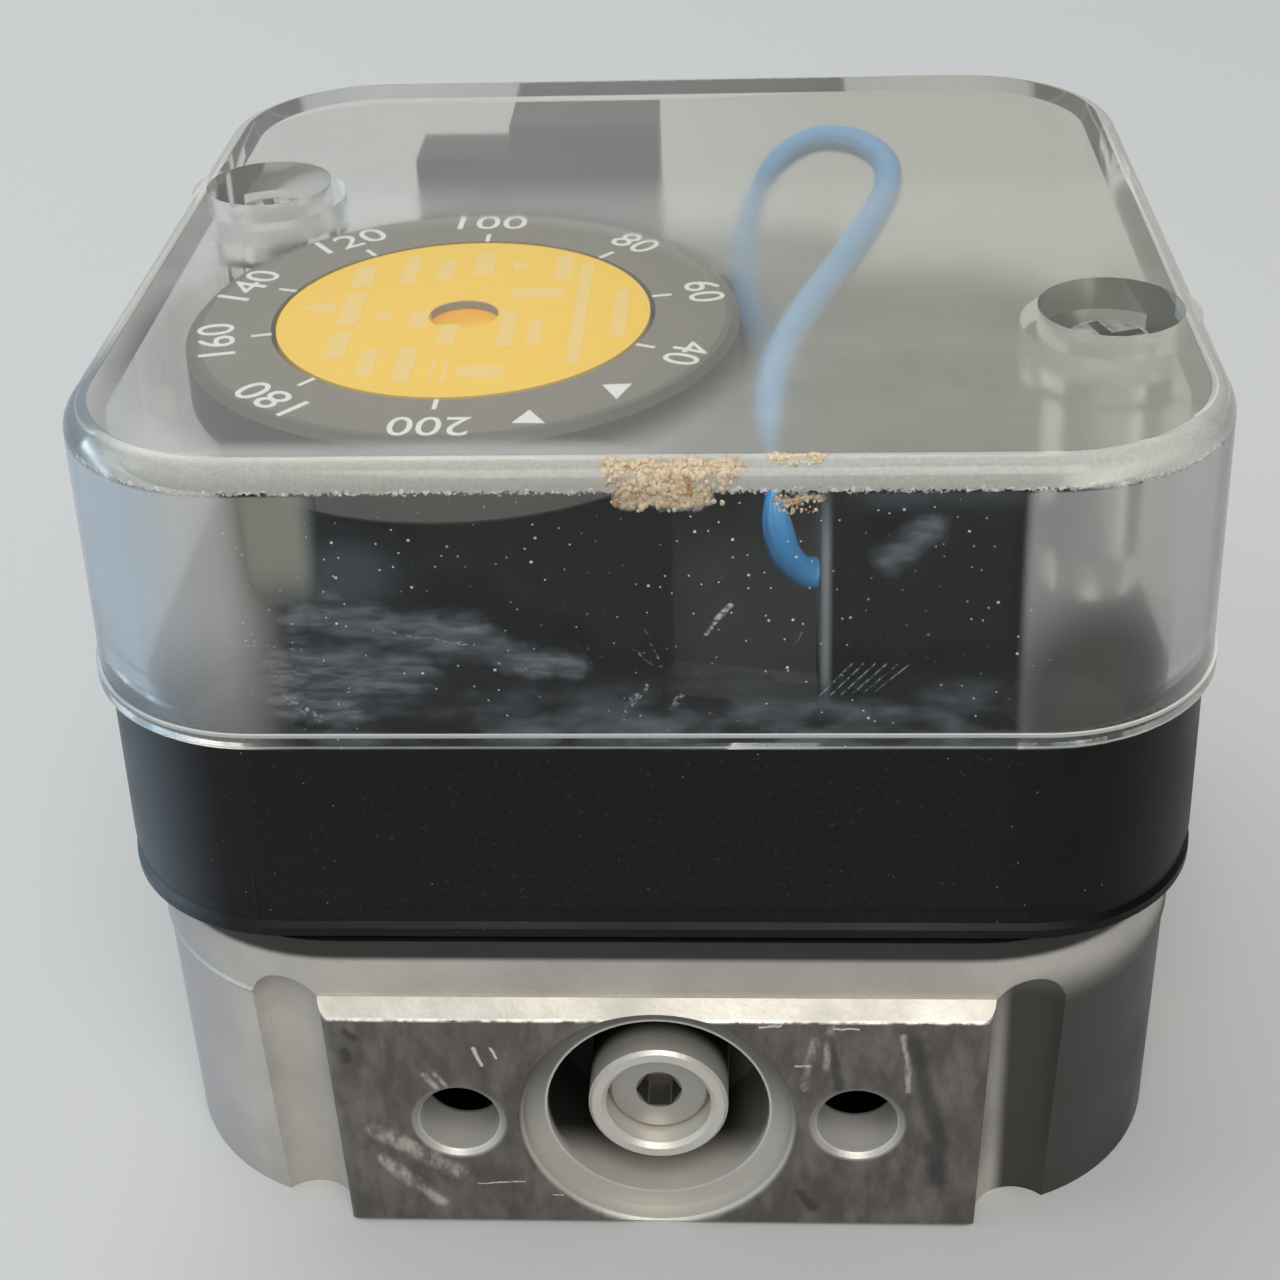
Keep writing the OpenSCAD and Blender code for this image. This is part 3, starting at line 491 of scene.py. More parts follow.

# The screw holes are bright where drilled through the pad, and painted black as shade in the channels behind
# it.
in_hole = casting.both(
    casting.band(from_screw, SCREW_HOLE_R + 0.15 * MM, SCREW_HOLE_R),
    casting.band(y, pad_y + 0.1 * MM, pad_y + 0.3 * MM))
metal = casting.blend(in_hole, metal, HOLE_BRIGHT)
in_shaded_channel = casting.both(
    casting.band(from_screw, SCREW_CHANNEL_R + 0.15 * MM, SCREW_CHANNEL_R),
    casting.band(from_screw, SCREW_HOLE_R - 0.15 * MM, SCREW_HOLE_R - 0.05 * MM),
    casting.band(y, pad_y + PAD_PLATE_T, pad_y + PAD_PLATE_T + 0.1 * MM))
metal = casting.blend(in_shaded_channel, metal, CHANNEL_SHADE)

# The chamfer above the pad is cream, and its lower edge carries a painted highlight, broken in places.
on_ledge = casting.both(
    casting.band(z, CHAMFER_FOOT, CHAMFER_FOOT + 0.08 * MM),
    casting.band(z, PAD_TOP + 0.12 * MM, PAD_TOP + 0.02 * MM),
    casting.band(y, BASE_SIDE_Y + 0.1 * MM, BASE_SIDE_Y - 0.1 * MM))
mottle = casting.band(casting.noise(0.9 * MM, 4, 0.6), 0.35, 0.7)
metal = casting.blend(on_ledge, metal, casting.blend(mottle, LEDGE_CREAM, LEDGE_DULL))
from_edge = casting.maths("ABSOLUTE", casting.maths("SUBTRACT", z, CHAMFER_FOOT))
lower_edge_highlight = casting.both(
    casting.band(from_edge, 0.13 * MM, 0.05 * MM),
    casting.band(y, pad_y + 0.3 * MM, pad_y + 0.1 * MM),
    casting.band(casting.noise(0.9 * MM, 4, 0.7), 0.34, 0.60))
metal = casting.blend(lower_edge_highlight, metal, EDGE_HIGHLIGHT)

casting.colour(metal)
casting.rough(casting.band(clouds, 0.3, 0.75, 0.40, 0.58))
pad_smears = casting.maths("MULTIPLY", smears, casting.maths("MULTIPLY", on_pad, 2.0))
casting.relief(casting.maths("ADD", grain, pad_smears), 0.02 * MM)
base = smoothed_copy("base_housing", "base_casting", 32)
put(base, casting, "housing", "cast_aluminium", "base_housing")

# ---------------------------------------------------------------- Port screw
# A turned aluminium screw closes the tube in the middle of the port. It is screwed in from the front with a
# hexagon key, and its socket is painted dark as shade.
TURNED_GREY = (0.50, 0.48, 0.44, 1)
SOCKET_SHADE = (0.17, 0.16, 0.145, 1)
SOCKET_R = 1.24 * MM
screw_metal = Finish("port_screw_metal", TURNED_GREY, 0.4, 0.8)
in_socket = screw_metal.band(screw_metal.away(PORT_AXIS, (1, 0, 1)), SOCKET_R + 0.09 * MM, SOCKET_R)
screw_metal.colour(screw_metal.blend(in_socket, TURNED_GREY, SOCKET_SHADE))
wear(screw_metal, "nozzle_screw")

# ---------------------------------------------------------------- Diaphragm group, spring and screws
# A rolled rubber diaphragm, clamped between base and housing, carries an aluminium plate and washer. A steel
# arm runs from it to the microswitch, which hangs in a folded steel bracket. A coil of steel wire stands on
# the arm, and in the switch its top turns follow the moulded nut as the dial is set; here the coil is a fixed
# copy. The screws are zinc-plated steel.
RUBBER_BLACK = (0.03, 0.03, 0.03, 1)
ZINC_GREY = (0.56, 0.56, 0.55, 1)
STEEL_BLACK = (0.03, 0.03, 0.032, 1)
NATURAL_CREAM = (0.62, 0.58, 0.48, 1)
rubber = Finish("black_rubber", RUBBER_BLACK, 0.7)
wear(rubber, "diaphragm")
turned = Finish("turned_aluminium", TURNED_GREY, 0.33, 0.9)
turned.relief(turned.noise(0.5 * MM, 3, 0.6), 0.01 * MM)
wear(turned, "diaphragm_plate", "diaphragm_washer")
steel = Finish("zinc_steel", ZINC_GREY, 0.35, 0.9)
steel.rough(steel.band(steel.noise(0.8 * MM), 0.3, 0.7, 0.26, 0.42))
wear(steel, "housing_screws", "lid_screws")
blackened = Finish("blackened_steel", STEEL_BLACK, 0.5, 0.6)
wear(blackened, "actuator_arm", "switch_bracket")
nut_plastic = Finish("natural_plastic", NATURAL_CREAM, 0.45)
wear(nut_plastic, "spring_nut")

coil = smoothed_copy("adjusting_spring", "coil_spring", 60)
dress(coil, steel)
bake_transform(coil)
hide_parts("adjusting_spring")

# ---------------------------------------------------------------- Black housing
# The middle body and the plug's collar are moulded in black glass-filled plastic: satin, with faint dust in
# the grain. The terminal block and the microswitch stand inside and are moulded in a duller black.
BLACK = (0.0085, 0.0083, 0.0095, 1)
DUSTY_BLACK = (0.032, 0.031, 0.033, 1)
DOT_GREY = (0.4, 0.39, 0.37, 1)
LEFT_SHEEN = (0.072, 0.094, 0.110, 1)
RIGHT_SHADE = (0.0015, 0.0015, 0.002, 1)
INNER_BLACK = (0.006, 0.006, 0.0065, 1)
PAINTED_LIGHT_GREY = (0.30, 0.32, 0.33, 1)
BLACK_GLOSS = 0.16
INNER_GLOSS = 0.08
MOULD_LINE_X = -20.9 * MM
MOULD_LINE_TOP = 24 * MM
moulded = Finish("black_plastic", BLACK, 0.38)
moulded.shader.inputs["Specular IOR Level"].default_value = BLACK_GLOSS
x, y, z = moulded.axes()
dust = moulded.noise(0.25 * MM, 2, 0.6)
haze = moulded.noise(9 * MM, 3, 0.5)
skin = moulded.blend(moulded.band(dust, 0.62, 0.78), BLACK, DUSTY_BLACK)
# Painted sheen: the front-left corner is tinted bluish.
front_left_sheen = moulded.both(moulded.band(x, -22 * MM, -28 * MM), moulded.band(y, -15 * MM, -23 * MM))
skin = moulded.blend(front_left_sheen, skin, LEFT_SHEEN)
# Painted shade: the front-right corner is darker still.
front_right_shade = moulded.both(moulded.band(x, 16 * MM, 25 * MM), moulded.band(y, -8 * MM, -18 * MM))
skin = moulded.blend(front_right_shade, skin, RIGHT_SHADE)
pale_dots = moulded.both(
    moulded.specks(2.3 * MM, 0.06 * MM, x, z),
    moulded.band(moulded.noise(5 * MM), 0.5, 0.6),
    moulded.band(y, -28 * MM, -29 * MM), 0.5)
moulded.colour(moulded.blend(pale_dots, skin, DOT_GREY))
moulded.rough(moulded.band(haze, 0.3, 0.7, 0.33, 0.46))

# A fine line stands up where the mould parts on the front wall.
from_line = moulded.maths("ABSOLUTE", moulded.maths("SUBTRACT", x, MOULD_LINE_X))
mould_line = moulded.both(
    moulded.band(from_line, 0.12 * MM, 0.03 * MM),
    moulded.band(z, MOULD_LINE_TOP + 0.2 * MM, MOULD_LINE_TOP),
    moulded.band(y, -28 * MM, -28.6 * MM))
skin_grain = moulded.noise(0.18 * MM, 2, 0.5)
moulded.relief(moulded.maths("ADD", skin_grain, moulded.maths("MULTIPLY", mould_line, 9.0)), 0.004 * MM)
wear(moulded, "plug_collar")
black_body = smoothed_copy("switch_housing", "black_housing", 32)
put(black_body, moulded, "housing", "black_plastic", "switch_housing")

# Painted highlight: the microswitch's left edge is painted light grey between its foot and its top.
interior = Finish("black_inner_plastic", INNER_BLACK, 0.5)
interior.shader.inputs["Specular IOR Level"].default_value = INNER_GLOSS
micro_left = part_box("micro_switch")[0][0]
x, _, z = interior.axes()
painted_lit_edge = interior.both(
    interior.band(x, micro_left + 0.75 * MM, micro_left + 0.25 * MM),
    interior.band(x, micro_left - 0.1 * MM, micro_left),
    interior.band(z, 41.5 * MM, 35 * MM),
    interior.band(z, 24.8 * MM, 28.5 * MM))
interior.colour(interior.blend(painted_lit_edge, INNER_BLACK, PAINTED_LIGHT_GREY))
wear(interior, "terminal_block", "micro_switch")

# ---------------------------------------------------------------- Setting wheel
# The wheel is moulded in grey-black plastic and turns round the housing's guide tube. White figures, one per
# step of the range, are printed round its ring with their feet towards the middle, each with a short tick
# inside it, and two triangles mark the front.
RING_GREY = (0.165, 0.153, 0.125, 1)
RING_EDGE = (0.10, 0.095, 0.085, 1)
PRINT_WHITE = (0.80, 0.79, 0.76, 1)
RING_R = 15 * MM
PRINT_T = 0.03 * MM
FIGURE_FOOT_R = 13.0 * MM
FIGURE_H = 2.1 * MM
FIGURE_W = {2: 2.9 * MM, 3: 4.3 * MM}
TICK_IN = 10.95 * MM
TICK_OUT = 12.1 * MM
TICK_W = 0.26 * MM

# Figures with their direction in degrees, and triangles in mm: their place, and corners about it.
FIGURES = (
    ("200", -91), ("180", -131), ("160", -167), ("140", 161), ("120", 126), ("100", 89),
    ("80", 48), ("60", 12), ("40", -23))
RANGE_MARKS = (
    ((-1.6, -16.9), ((-0.8, 0.85), (0.8, 0.95), (0.05, -0.9))),
    ((-6.0, -19.9), ((-0.05, 0.95), (0.9, -0.6), (-0.85, -0.55))))

wheel_low, wheel_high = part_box("setting_wheel")
dial_centre = Vector(((wheel_low[0] + wheel_high[0]) / 2,
                      (wheel_low[1] + wheel_high[1]) / 2,
                      wheel_high[2]))
ring_grey = Finish("dial_grey_black", RING_GREY, 0.55)
from_axis = ring_grey.away(dial_centre, (1, 1, 0))
at_edge = ring_grey.band(from_axis, RING_R - 0.05 * MM, RING_R + 0.05 * MM)
ring_grey.colour(ring_grey.blend(at_edge, RING_GREY, RING_EDGE))
wear(ring_grey, "setting_wheel")


def figures_mesh(figures, width, height):
    """Solid printed figures that stand on the X axis, centred on Y, with their face up."""
    letters = bpy.data.curves.new("figures", "FONT")
    letters.body = figures
    letters.resolution_u = 4
    letters.extrude = 0.05
    holder = bpy.data.objects.new("figures", letters)
    bpy.context.collection.objects.link(holder)
    bpy.context.view_layer.update()
    solved = holder.evaluated_get(bpy.context.evaluated_depsgraph_get())
    mesh = bpy.data.meshes.new_from_object(solved)
    bpy.data.objects.remove(holder)
    bpy.data.curves.remove(letters)
    bm = bmesh.new()
    bm.from_mesh(mesh)
    bpy.data.meshes.remove(mesh)
    bmesh.ops.remove_doubles(bm, verts=bm.verts, dist=1e-5)
    low = Vector([min(v.co[i] for v in bm.verts) for i in range(3)])
    high = Vector([max(v.co[i] for v in bm.verts) for i in range(3)])
    bmesh.ops.translate(bm, verts=bm.verts, vec=(-(low.x + high.x) / 2, -low.y, -(low.z + high.z) / 2))
    bmesh.ops.scale(bm, verts=bm.verts, vec=(
        width / (high.x - low.x), height / (high.y - low.y), PRINT_T / (high.z - low.z)))
    return bm


def add_to(whole, bm, placing):
    """Places a bmesh and adds it to another."""
    bmesh.ops.transform(bm, verts=bm.verts, matrix=placing)
    part = bpy.data.meshes.new("part")
    bm.to_mesh(part)
    bm.free()
    whole.from_mesh(part)
    bpy.data.meshes.remove(part)


def flat_plate(width, height):
    """A thin rectangle of print about the origin."""
    bm = bmesh.new()
    bmesh.ops.create_cube(bm, size=1)
    bmesh.ops.scale(bm, verts=bm.verts, vec=(width, height, PRINT_T))
    return bm


def flat_triangle(corners):
    """A thin triangle of print with corners given from its own centre."""
    bm = bmesh.new()
    face = bm.faces.new([bm.verts.new((cx, cy, -PRINT_T / 2)) for cx, cy in corners])
    raised = bmesh.ops.extrude_face_region(bm, geom=[face])["geom"]
    upper = [item for item in raised if isinstance(item, bmesh.types.BMVert)]
    bmesh.ops.translate(bm, verts=upper, vec=(0, 0, PRINT_T))
    bmesh.ops.recalc_face_normals(bm, faces=bm.faces)
    return bm


def on_ring(angle, radius):
    """Placing of print at a direction and radius of the dial, with its top outward."""
    turned_by = Matrix.Rotation(math.radians(angle - 90), 4, "Z")
    return Matrix.Translation(dial_centre) @ turned_by @ Matrix.Translation((0, radius, 0))


dial_print = bmesh.new()
for figures, angle in FIGURES:
    number = figures_mesh(figures, FIGURE_W[len(figures)], FIGURE_H)
    add_to(dial_print, number, on_ring(angle, FIGURE_FOOT_R))
    tick = flat_plate(TICK_W, TICK_OUT - TICK_IN)
    add_to(dial_print, tick, on_ring(angle, (TICK_IN + TICK_OUT) / 2))
for (mark_x, mark_y), corners in RANGE_MARKS:
    mark = flat_triangle([(cx * MM, cy * MM) for cx, cy in corners])
    add_to(dial_print, mark, Matrix.Translation((mark_x * MM, mark_y * MM, dial_centre.z)))
white_print = Finish("white_print", PRINT_WHITE, 0.6)
put(piece_from(dial_print, "dial_figures"), white_print, "wheel", "dial_black")

# ---------------------------------------------------------------- Pointer disc
# The yellow disc is a moulded cap that stands still in the middle of the wheel. It carries a pale pointer and
# plain pale bars of print in columns; the far wall of the dimple in its centre is painted grey as shade.
YELLOW = (0.97, 0.585, 0.004, 1)
DIMPLE_SHADE = (0.25, 0.225, 0.18, 1)
PALE_PRINT = (0.90, 0.61, 0.16, 1)
DIMPLE_R = 2 * MM
DIMPLE_DEPTH = 0.6 * MM

# Columns of bars in mm from the disc's centre: x, width, and where each bar starts and ends in y.
BAR_COLUMNS = (
    (-6.6, 1.15, ((-5.9, -2.4), (-1.6, 3.2), (4.0, 7.2))), (-4.6, 0.9, ((-8.2, -4.6), (-0.8, 0.6))),
    (-3.9, 0.9, ((4.4, 8.6),)), (-2.5, 1.0, ((-8.8, -4.4), (-1.9, 0.4))), (-1.7, 0.9, ((4.8, 7.9),)),
    (-0.6, 1.0, ((-4.2, -1.4),)), (-0.9, 0.22, ((-8.8, -6.0),)), (-0.2, 0.22, ((-8.9, -6.0),)),
    (0.5, 1.2, ((5.6, 9.0),)), (2.7, 0.9, ((-4.6, 0.4), (6.4, 7.6))), (4.0, 3.0, ((2.2, 3.5),)),
    (1.7, 2.6, ((-8.4, -6.9),)), (4.3, 0.8, ((-4.2, -1.0),)), (5.3, 0.9, ((4.6, 8.7),)),
    (6.7, 0.75, ((-6.8, 7.1),)), (9.0, 0.8, ((-3.4, 3.2),)))
POINTER = ((-1.45, 0.0), (0.75, 0.95), (0.7, -1.0))
POINTER_PLACE = (-8.35, 1.0)
disc_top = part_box("pointer_disc")[1][2]
disc_centre = Vector((dial_centre.x, dial_centre.y, disc_top))

yellow = Finish("dial_yellow", YELLOW, 0.5)
_, y, z = yellow.axes()
from_centre = yellow.away(disc_centre, (1, 1, 0))
far_wall_shade = yellow.both(
    yellow.band(from_centre, DIMPLE_R + 0.2 * MM, DIMPLE_R + 0.05 * MM),
    yellow.band(from_centre, DIMPLE_R - 0.08 * MM, DIMPLE_R - 0.03 * MM),
    yellow.band(z, disc_top - 0.02 * MM, disc_top - 0.08 * MM),
    yellow.band(z, disc_top - DIMPLE_DEPTH - 0.02 * MM, disc_top - DIMPLE_DEPTH + 0.1 * MM),
    yellow.band(y, disc_centre.y + 0.3 * MM, disc_centre.y + 0.6 * MM))
yellow.colour(yellow.blend(far_wall_shade, YELLOW, DIMPLE_SHADE))
wear(yellow, "pointer_disc")

disc_print = bmesh.new()
for column, width, spans in BAR_COLUMNS:
    for low, high in spans:
        middle = disc_centre + Vector((column, (low + high) / 2, 0)) * MM
        add_to(disc_print, flat_plate(width * MM, (high - low) * MM), Matrix.Translation(middle))
pointer = flat_triangle([(cx * MM, cy * MM) for cx, cy in POINTER])
add_to(disc_print, pointer, Matrix.Translation(disc_centre + Vector((*POINTER_PLACE, 0)) * MM))
pale_print = Finish("pale_print", PALE_PRINT, 0.6)
put(piece_from(disc_print, "disc_print"), pale_print, "housing", "dial_yellow")

# ---------------------------------------------------------------- Microswitch plunger and rear plug
# A red moulded plunger reaches down from the microswitch to the steel arm. Two tinned flat pins and a brass
# earth pin are pressed into the rear collar, and brass inserts in the housing take the lid's screws.
PLUNGER_RED = (0.5, 0.05, 0.03, 1)
TIN_GREY = (0.6, 0.58, 0.54, 1)
BRASS_YELLOW = (0.6, 0.42, 0.16, 1)
red_plastic = Finish("red_plastic", PLUNGER_RED, 0.4)
wear(red_plastic, "switch_plunger")
tinned = Finish("tinned_pin", TIN_GREY, 0.3, 1.0)
wear(tinned, "plug_pins")
brass = Finish("brass", BRASS_YELLOW, 0.3, 1.0)
wear(brass, "earth_pin", "screw_inserts")

# ---------------------------------------------------------------- Blue lead
# A stranded lead in soft blue insulation loops up from the third pin and down into the side of the
# microswitch, held at both ends. The CAD tube has flat faces, so its copy is rounded here.
BLUE = (0.07, 0.31, 0.64, 1)
ROUNDING_LEVELS = 2
insulation = Finish("blue_insulation", BLUE, 0.4)
lead = smoothed_copy("blue_lead", "smooth_blue_lead", 60)
roundness = lead.modifiers.new("roundness", "SUBSURF")
roundness.levels = ROUNDING_LEVELS
roundness.render_levels = ROUNDING_LEVELS
put(lead, insulation, "housing", "blue_insulation", "blue_lead")

# ---------------------------------------------------------------- Gasket and lid
# The lid is moulded in clear plastic and held down on a flat rubber gasket by two screws. Its top is dusty
# except where a thumb has wiped it over the dial, its rounded edge is rubbed matt, and its front wall carries
# scuffs, nicks and fine dust. Each mark is a veil that makes the plastic less clear and shows a tone of its
# own: mostly dirt, but some veils are painted reflection, refraction, glow, glint, highlight, glare and
# shade.
LID_TINT = (0.94, 0.95, 0.93, 1)
THIN_FILM = (0.058, 0.058, 0.058, 1)
FULL_FILM = (0.315, 0.315, 0.315, 1)
DUST = (0.68, 0.68, 0.64, 1)
WARM_DUST = (0.575, 0.56, 0.475, 1)
EDGE_RUB = (0.70, 0.69, 0.62, 1)
EDGE_SHADE = (0.30, 0.35, 0.38, 1)
SCUFF_GREY = (0.42, 0.47, 0.50, 1)
SPECK_WHITE = (0.86, 0.86, 0.82, 1)
KHAKI_REFRACTION = (0.42, 0.42, 0.34, 1)
CORNER_REFLECTION_BLUE = (0.60, 0.68, 0.745, 1)
CORNER_GREY = (0.60, 0.60, 0.57, 1)
GLINT_BLUE = (0.82, 0.93, 0.98, 1)
CRUST = (0.54, 0.395, 0.24, 1)
CRUST_PALE = (0.66, 0.54, 0.37, 1)
CLEAR_IOR = 1.31
LID_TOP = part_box("lid")[1][2]
LID_FRONT = -30 * MM
CORNER_C = 20 * MM
CORNER_R = 10 * MM
EDGE_R = 1.4 * MM
EDGE_REACH = CORNER_R - EDGE_R
EDGE_FOOT = LID_TOP - EDGE_R
WIPED = Vector((-10.9, -14.2, 48.4)) * MM
RECESS_R = 4 * MM
RECESS_AXES = (Vector((-25, 9, 0)) * MM, Vector((25, -11.8, 0)) * MM)

# Strokes on the front wall in mm: x and z of one end, x and z of the other end, and the width.
CLOUDS = (
    (-24.6, 41.6, -17, 40.6, 2.4), (-20.5, 42.6, -15.5, 41.4, 1.6), (-16, 40.2, -8.5, 38.8, 1.9),
    (-22.5, 37.6, -12, 36.8, 2.6), (-9, 38.6, -3.4, 37.2, 1.3), (-24, 35.5, -15, 34.6, 1.6))
LID_SCUFFS = (
    (-1.0, 34.3, -0.3, 35.6, 0.28), (-0.5, 34.9, 0.2, 36.1, 0.22), (1.4, 34.8, 1.9, 35.5, 0.22),
    (-0.3, 38.2, 0.5, 37.4, 0.10), (0.2, 39.6, 1.0, 37.2, 0.07), (-13.2, 39.4, -8.2, 38.5, 0.16),
    (-22.4, 38.9, -16.9, 38.3, 0.14), (-17.9, 35.4, -16.3, 34.2, 0.45), (4.5, 42.9, 4.0, 42.3, 0.08),
    (7.6, 38.6, 8.0, 39.4, 0.09))
ARCS = [(8.8 + 0.55 * i, 35.5 + 0.05 * i, 10.4 + 0.55 * i, 37.4 - 0.02 * i, 0.07) for i in range(6)]
NICK = ((3.25, 39.1, 4.0, 40.2, 0.16), (3.8, 40, 4.45, 40.75, 0.24))

# Films of dried sealant in mm: first and last x, then y, z and width.
CRUST_FILMS = (
    (-1.1, 4.6, -29.4, 47.9, 0.85), (-0.6, 3.4, -30, 46.7, 0.75),
    (6.5, 8.9, -28.9, 48.4, 0.42), (6.6, 8.8, -30, 46.6, 0.38))

wear(rubber, "lid_gasket")
clear = Finish("clear_plastic", LID_TINT, 0.04)
clear.shader.inputs["IOR"].default_value = CLEAR_IOR
x, y, z = clear.axes()
fine = clear.noise(0.22 * MM, 3, 0.65)
soft_clouds = clear.noise(6 * MM, 4, 0.6)
ragged_z = clear.maths("ADD", z, clear.maths("MULTIPLY", clear.maths("SUBTRACT", fine, 0.5), 0.9 * MM))

# Reach is how far a place lies out from the square that the corners are rounded about.
past_x = clear.maths("MAXIMUM", clear.maths("SUBTRACT", clear.maths("ABSOLUTE", x), CORNER_C), 0.0)
past_y = clear.maths("MAXIMUM", clear.maths("SUBTRACT", clear.maths("ABSOLUTE", y), CORNER_C), 0.0)
reach = clear.maths("SQRT", clear.maths("ADD", clear.maths("MULTIPLY", past_x, past_x),
                                        clear.maths("MULTIPLY", past_y, past_y)))
below_edge = clear.band(z, EDGE_FOOT, EDGE_FOOT - 0.2 * MM)
at_front = clear.band(y, -12 * MM, -20 * MM)

# The top has a film of dust, thin where it was wiped and thinner towards the back.
on_top = clear.both(
    clear.band(z, LID_TOP - 0.03 * MM, LID_TOP - 0.01 * MM),
    clear.band(reach, EDGE_REACH + 0.15 * MM, EDGE_REACH))
outside_dial = clear.band(clear.away(WIPED, (1, 1, 0)), 15 * MM, 18.5 * MM)
front_strip = clear.band(y, -26.6 * MM, -28.4 * MM)
back_part = clear.band(y, 2 * MM, 12 * MM)
top_veil = clear.both(
    on_top,
    clear.blend(clear.either(outside_dial, front_strip), THIN_FILM, FULL_FILM),
    clear.band(back_part, 0, 1, 1.0, 0.52),
    clear.band(y, -20 * MM, -4 * MM, 1.18, 1.0),
    clear.band(soft_clouds, 0.3, 0.7, 0.93, 1.07))

# The rounded edge is rubbed matt all round and chipped along its foot.
on_edge = clear.both(
    clear.band(ragged_z, EDGE_FOOT - 0.05 * MM, EDGE_FOOT + 0.08 * MM),
    clear.band(reach, EDGE_REACH, EDGE_REACH + 0.15 * MM))
edge_veil = clear.both(on_edge, clear.band(fine, 0.3, 0.7, 0.50, 0.58))
chips = clear.both(
    clear.band(ragged_z, EDGE_FOOT - 0.05 * MM, EDGE_FOOT + 0.05 * MM),
    clear.band(ragged_z, EDGE_FOOT + 0.3 * MM, EDGE_FOOT + 0.15 * MM),
    clear.band(reach, CORNER_R - 0.3 * MM, CORNER_R - 0.2 * MM),
    clear.band(clear.noise(0.35 * MM, 3, 0.6), 0.46, 0.62, 0.0, 0.8))

# The front wall has rubbed clouds, dust low down, scuffs, a smear, fine arcs and a nick.
on_front = clear.both(clear.band(y, LID_FRONT + 0.03 * MM, LID_FRONT + 0.01 * MM), below_edge)
rub_turn = (0, math.radians(-14), 0)
rub_marks = clear.noise(1.8 * MM, 3, 0.55, (0.45, 1, 1), rub_turn)
fibres = clear.noise(0.5 * MM, 4, 0.7, (0.25, 1, 1), rub_turn)
cloud_veil = clear.both(
    clear.front_strokes(LID_FRONT, CLOUDS, clear.ragged(2.4 * MM, 2.2 * MM)),
    clear.band(rub_marks, 0.25, 0.75, 0.14, 0.27),
    clear.band(fibres, 0.35, 0.65, 0.55, 1.5))
low_dust = clear.both(
    clear.band(ragged_z, 37.2 * MM, 34.4 * MM),
    clear.band(rub_marks, 0.38, 0.75, 0.03, 0.28))
scuff_veil = clear.both(
    clear.front_strokes(LID_FRONT, LID_SCUFFS, clear.ragged(0.45 * MM, 0.5 * MM)),
    clear.band(fine, 0.40, 0.68, 0.02, 0.48))
smear = clear.streak(
    (12.2 * MM, LID_FRONT, 43.3 * MM), (14 * MM, LID_FRONT, 45.1 * MM), 1.3 * MM, 1.0,
    clear.ragged(0.8 * MM, 0.9 * MM))
smear_veil = clear.both(smear, clear.band(fibres, 0.30, 0.70, 0.12, 0.36))
arc_veil = clear.both(clear.front_strokes(LID_FRONT, ARCS), clear.band(fine, 0.40, 0.60, 0.0, 0.45))
nick_veil = clear.both(clear.front_strokes(LID_FRONT, NICK), clear.band(fine, 0.35, 0.6, 0.18, 0.62))

# It also shows a painted refraction of a warm block at the left, a painted glow beside it, haze below the
# edge and white specks.
khaki_refraction_shape = clear.both(
    clear.band(x, -20 * MM, -18.6 * MM),
    clear.band(x, -15.2 * MM, -16.6 * MM),
    clear.band(z, 39.4 * MM, 43.6 * MM))
khaki_refraction_veil = clear.both(khaki_refraction_shape, 0.58)
# Painted glow beside the block.
from_painted_glow = clear.away((-14.2 * MM, LID_FRONT, 42.6 * MM), (0.7, 0, 0.9))
painted_glow_veil = clear.band(from_painted_glow, 2.8 * MM, 0.4 * MM, 0.0, 0.12)
under_edge = clear.both(
    clear.band(z, 45.5 * MM, 46.7 * MM),
    clear.band(x, 9 * MM, 12 * MM),
    clear.band(rub_marks, 0.25, 0.75, 0.04, 0.15))
speck_veil = clear.both(
    clear.either(clear.specks(1.5 * MM, 0.07 * MM, x, z), clear.specks(3.4 * MM, 0.11 * MM, x, z)),
    clear.band(clear.noise(4 * MM, 3, 0.6), 0.40, 0.60, 0.15, 1.0), 0.8)
front_veil = clear.both(on_front, clear.either(
    cloud_veil, low_dust, scuff_veil, smear_veil, arc_veil, nick_veil,
    khaki_refraction_veil, painted_glow_veil, under_edge, speck_veil))

# Dried sealant lies on the front edge as a film, under the grains that the next section adds.
crust_place = clear.ragged(0.9 * MM, 1.5 * MM)
crust_films = [
    clear.streak(
        Vector((first, at_y, at_z)) * MM, Vector((last, at_y, at_z)) * MM, width * MM, 0.3, crust_place)
    for first, last, at_y, at_z, width in CRUST_FILMS]
crust_zone = clear.both(
    clear.either(*crust_films),
    clear.band(reach, EDGE_REACH - 0.3 * MM, EDGE_REACH - 0.1 * MM),
    clear.band(z, 45.6 * MM, 45.8 * MM))
crust_veil = clear.both(crust_zone, clear.band(fine, 0.30, 0.50, 0.5, 0.95))

# The wall's left front corner carries a painted reflection, bluish at its far side, and a painted glint; the
# right one is veiled paler round a clear spot. The bead at its foot has painted highlight lines, and the
# recesses have painted glare.
outer_wall = clear.both(clear.band(reach, CORNER_R - 0.05 * MM, CORNER_R - 0.02 * MM), below_edge)
left_corner_reflection = clear.both(
    outer_wall, at_front,
    clear.band(x, -16.5 * MM, -21 * MM, 0.0, 0.66),
    clear.band(ragged_z, 33 * MM, 41 * MM, 0.45, 1.0))
from_clear_spot = clear.away((22.4 * MM, -29 * MM, 35 * MM), (1, 0, 0.8))
right_corner = clear.both(
    outer_wall, at_front,
    clear.band(x, 18.3 * MM, 19.0 * MM, 0.0, 0.46),
    clear.band(from_clear_spot, 2.5 * MM, 6.5 * MM, 0.25, 1.0))
corner_veil = clear.either(left_corner_reflection, right_corner)
corner_glint = clear.streak(
    (-27.4 * MM, -26.2 * MM, 47.9 * MM), (-25.9 * MM, -27.9 * MM, 47.2 * MM), 0.6 * MM, 1.0)
glint_veil = clear.both(clear.band(reach, 8.8 * MM, 9 * MM), corner_glint, 0.95)
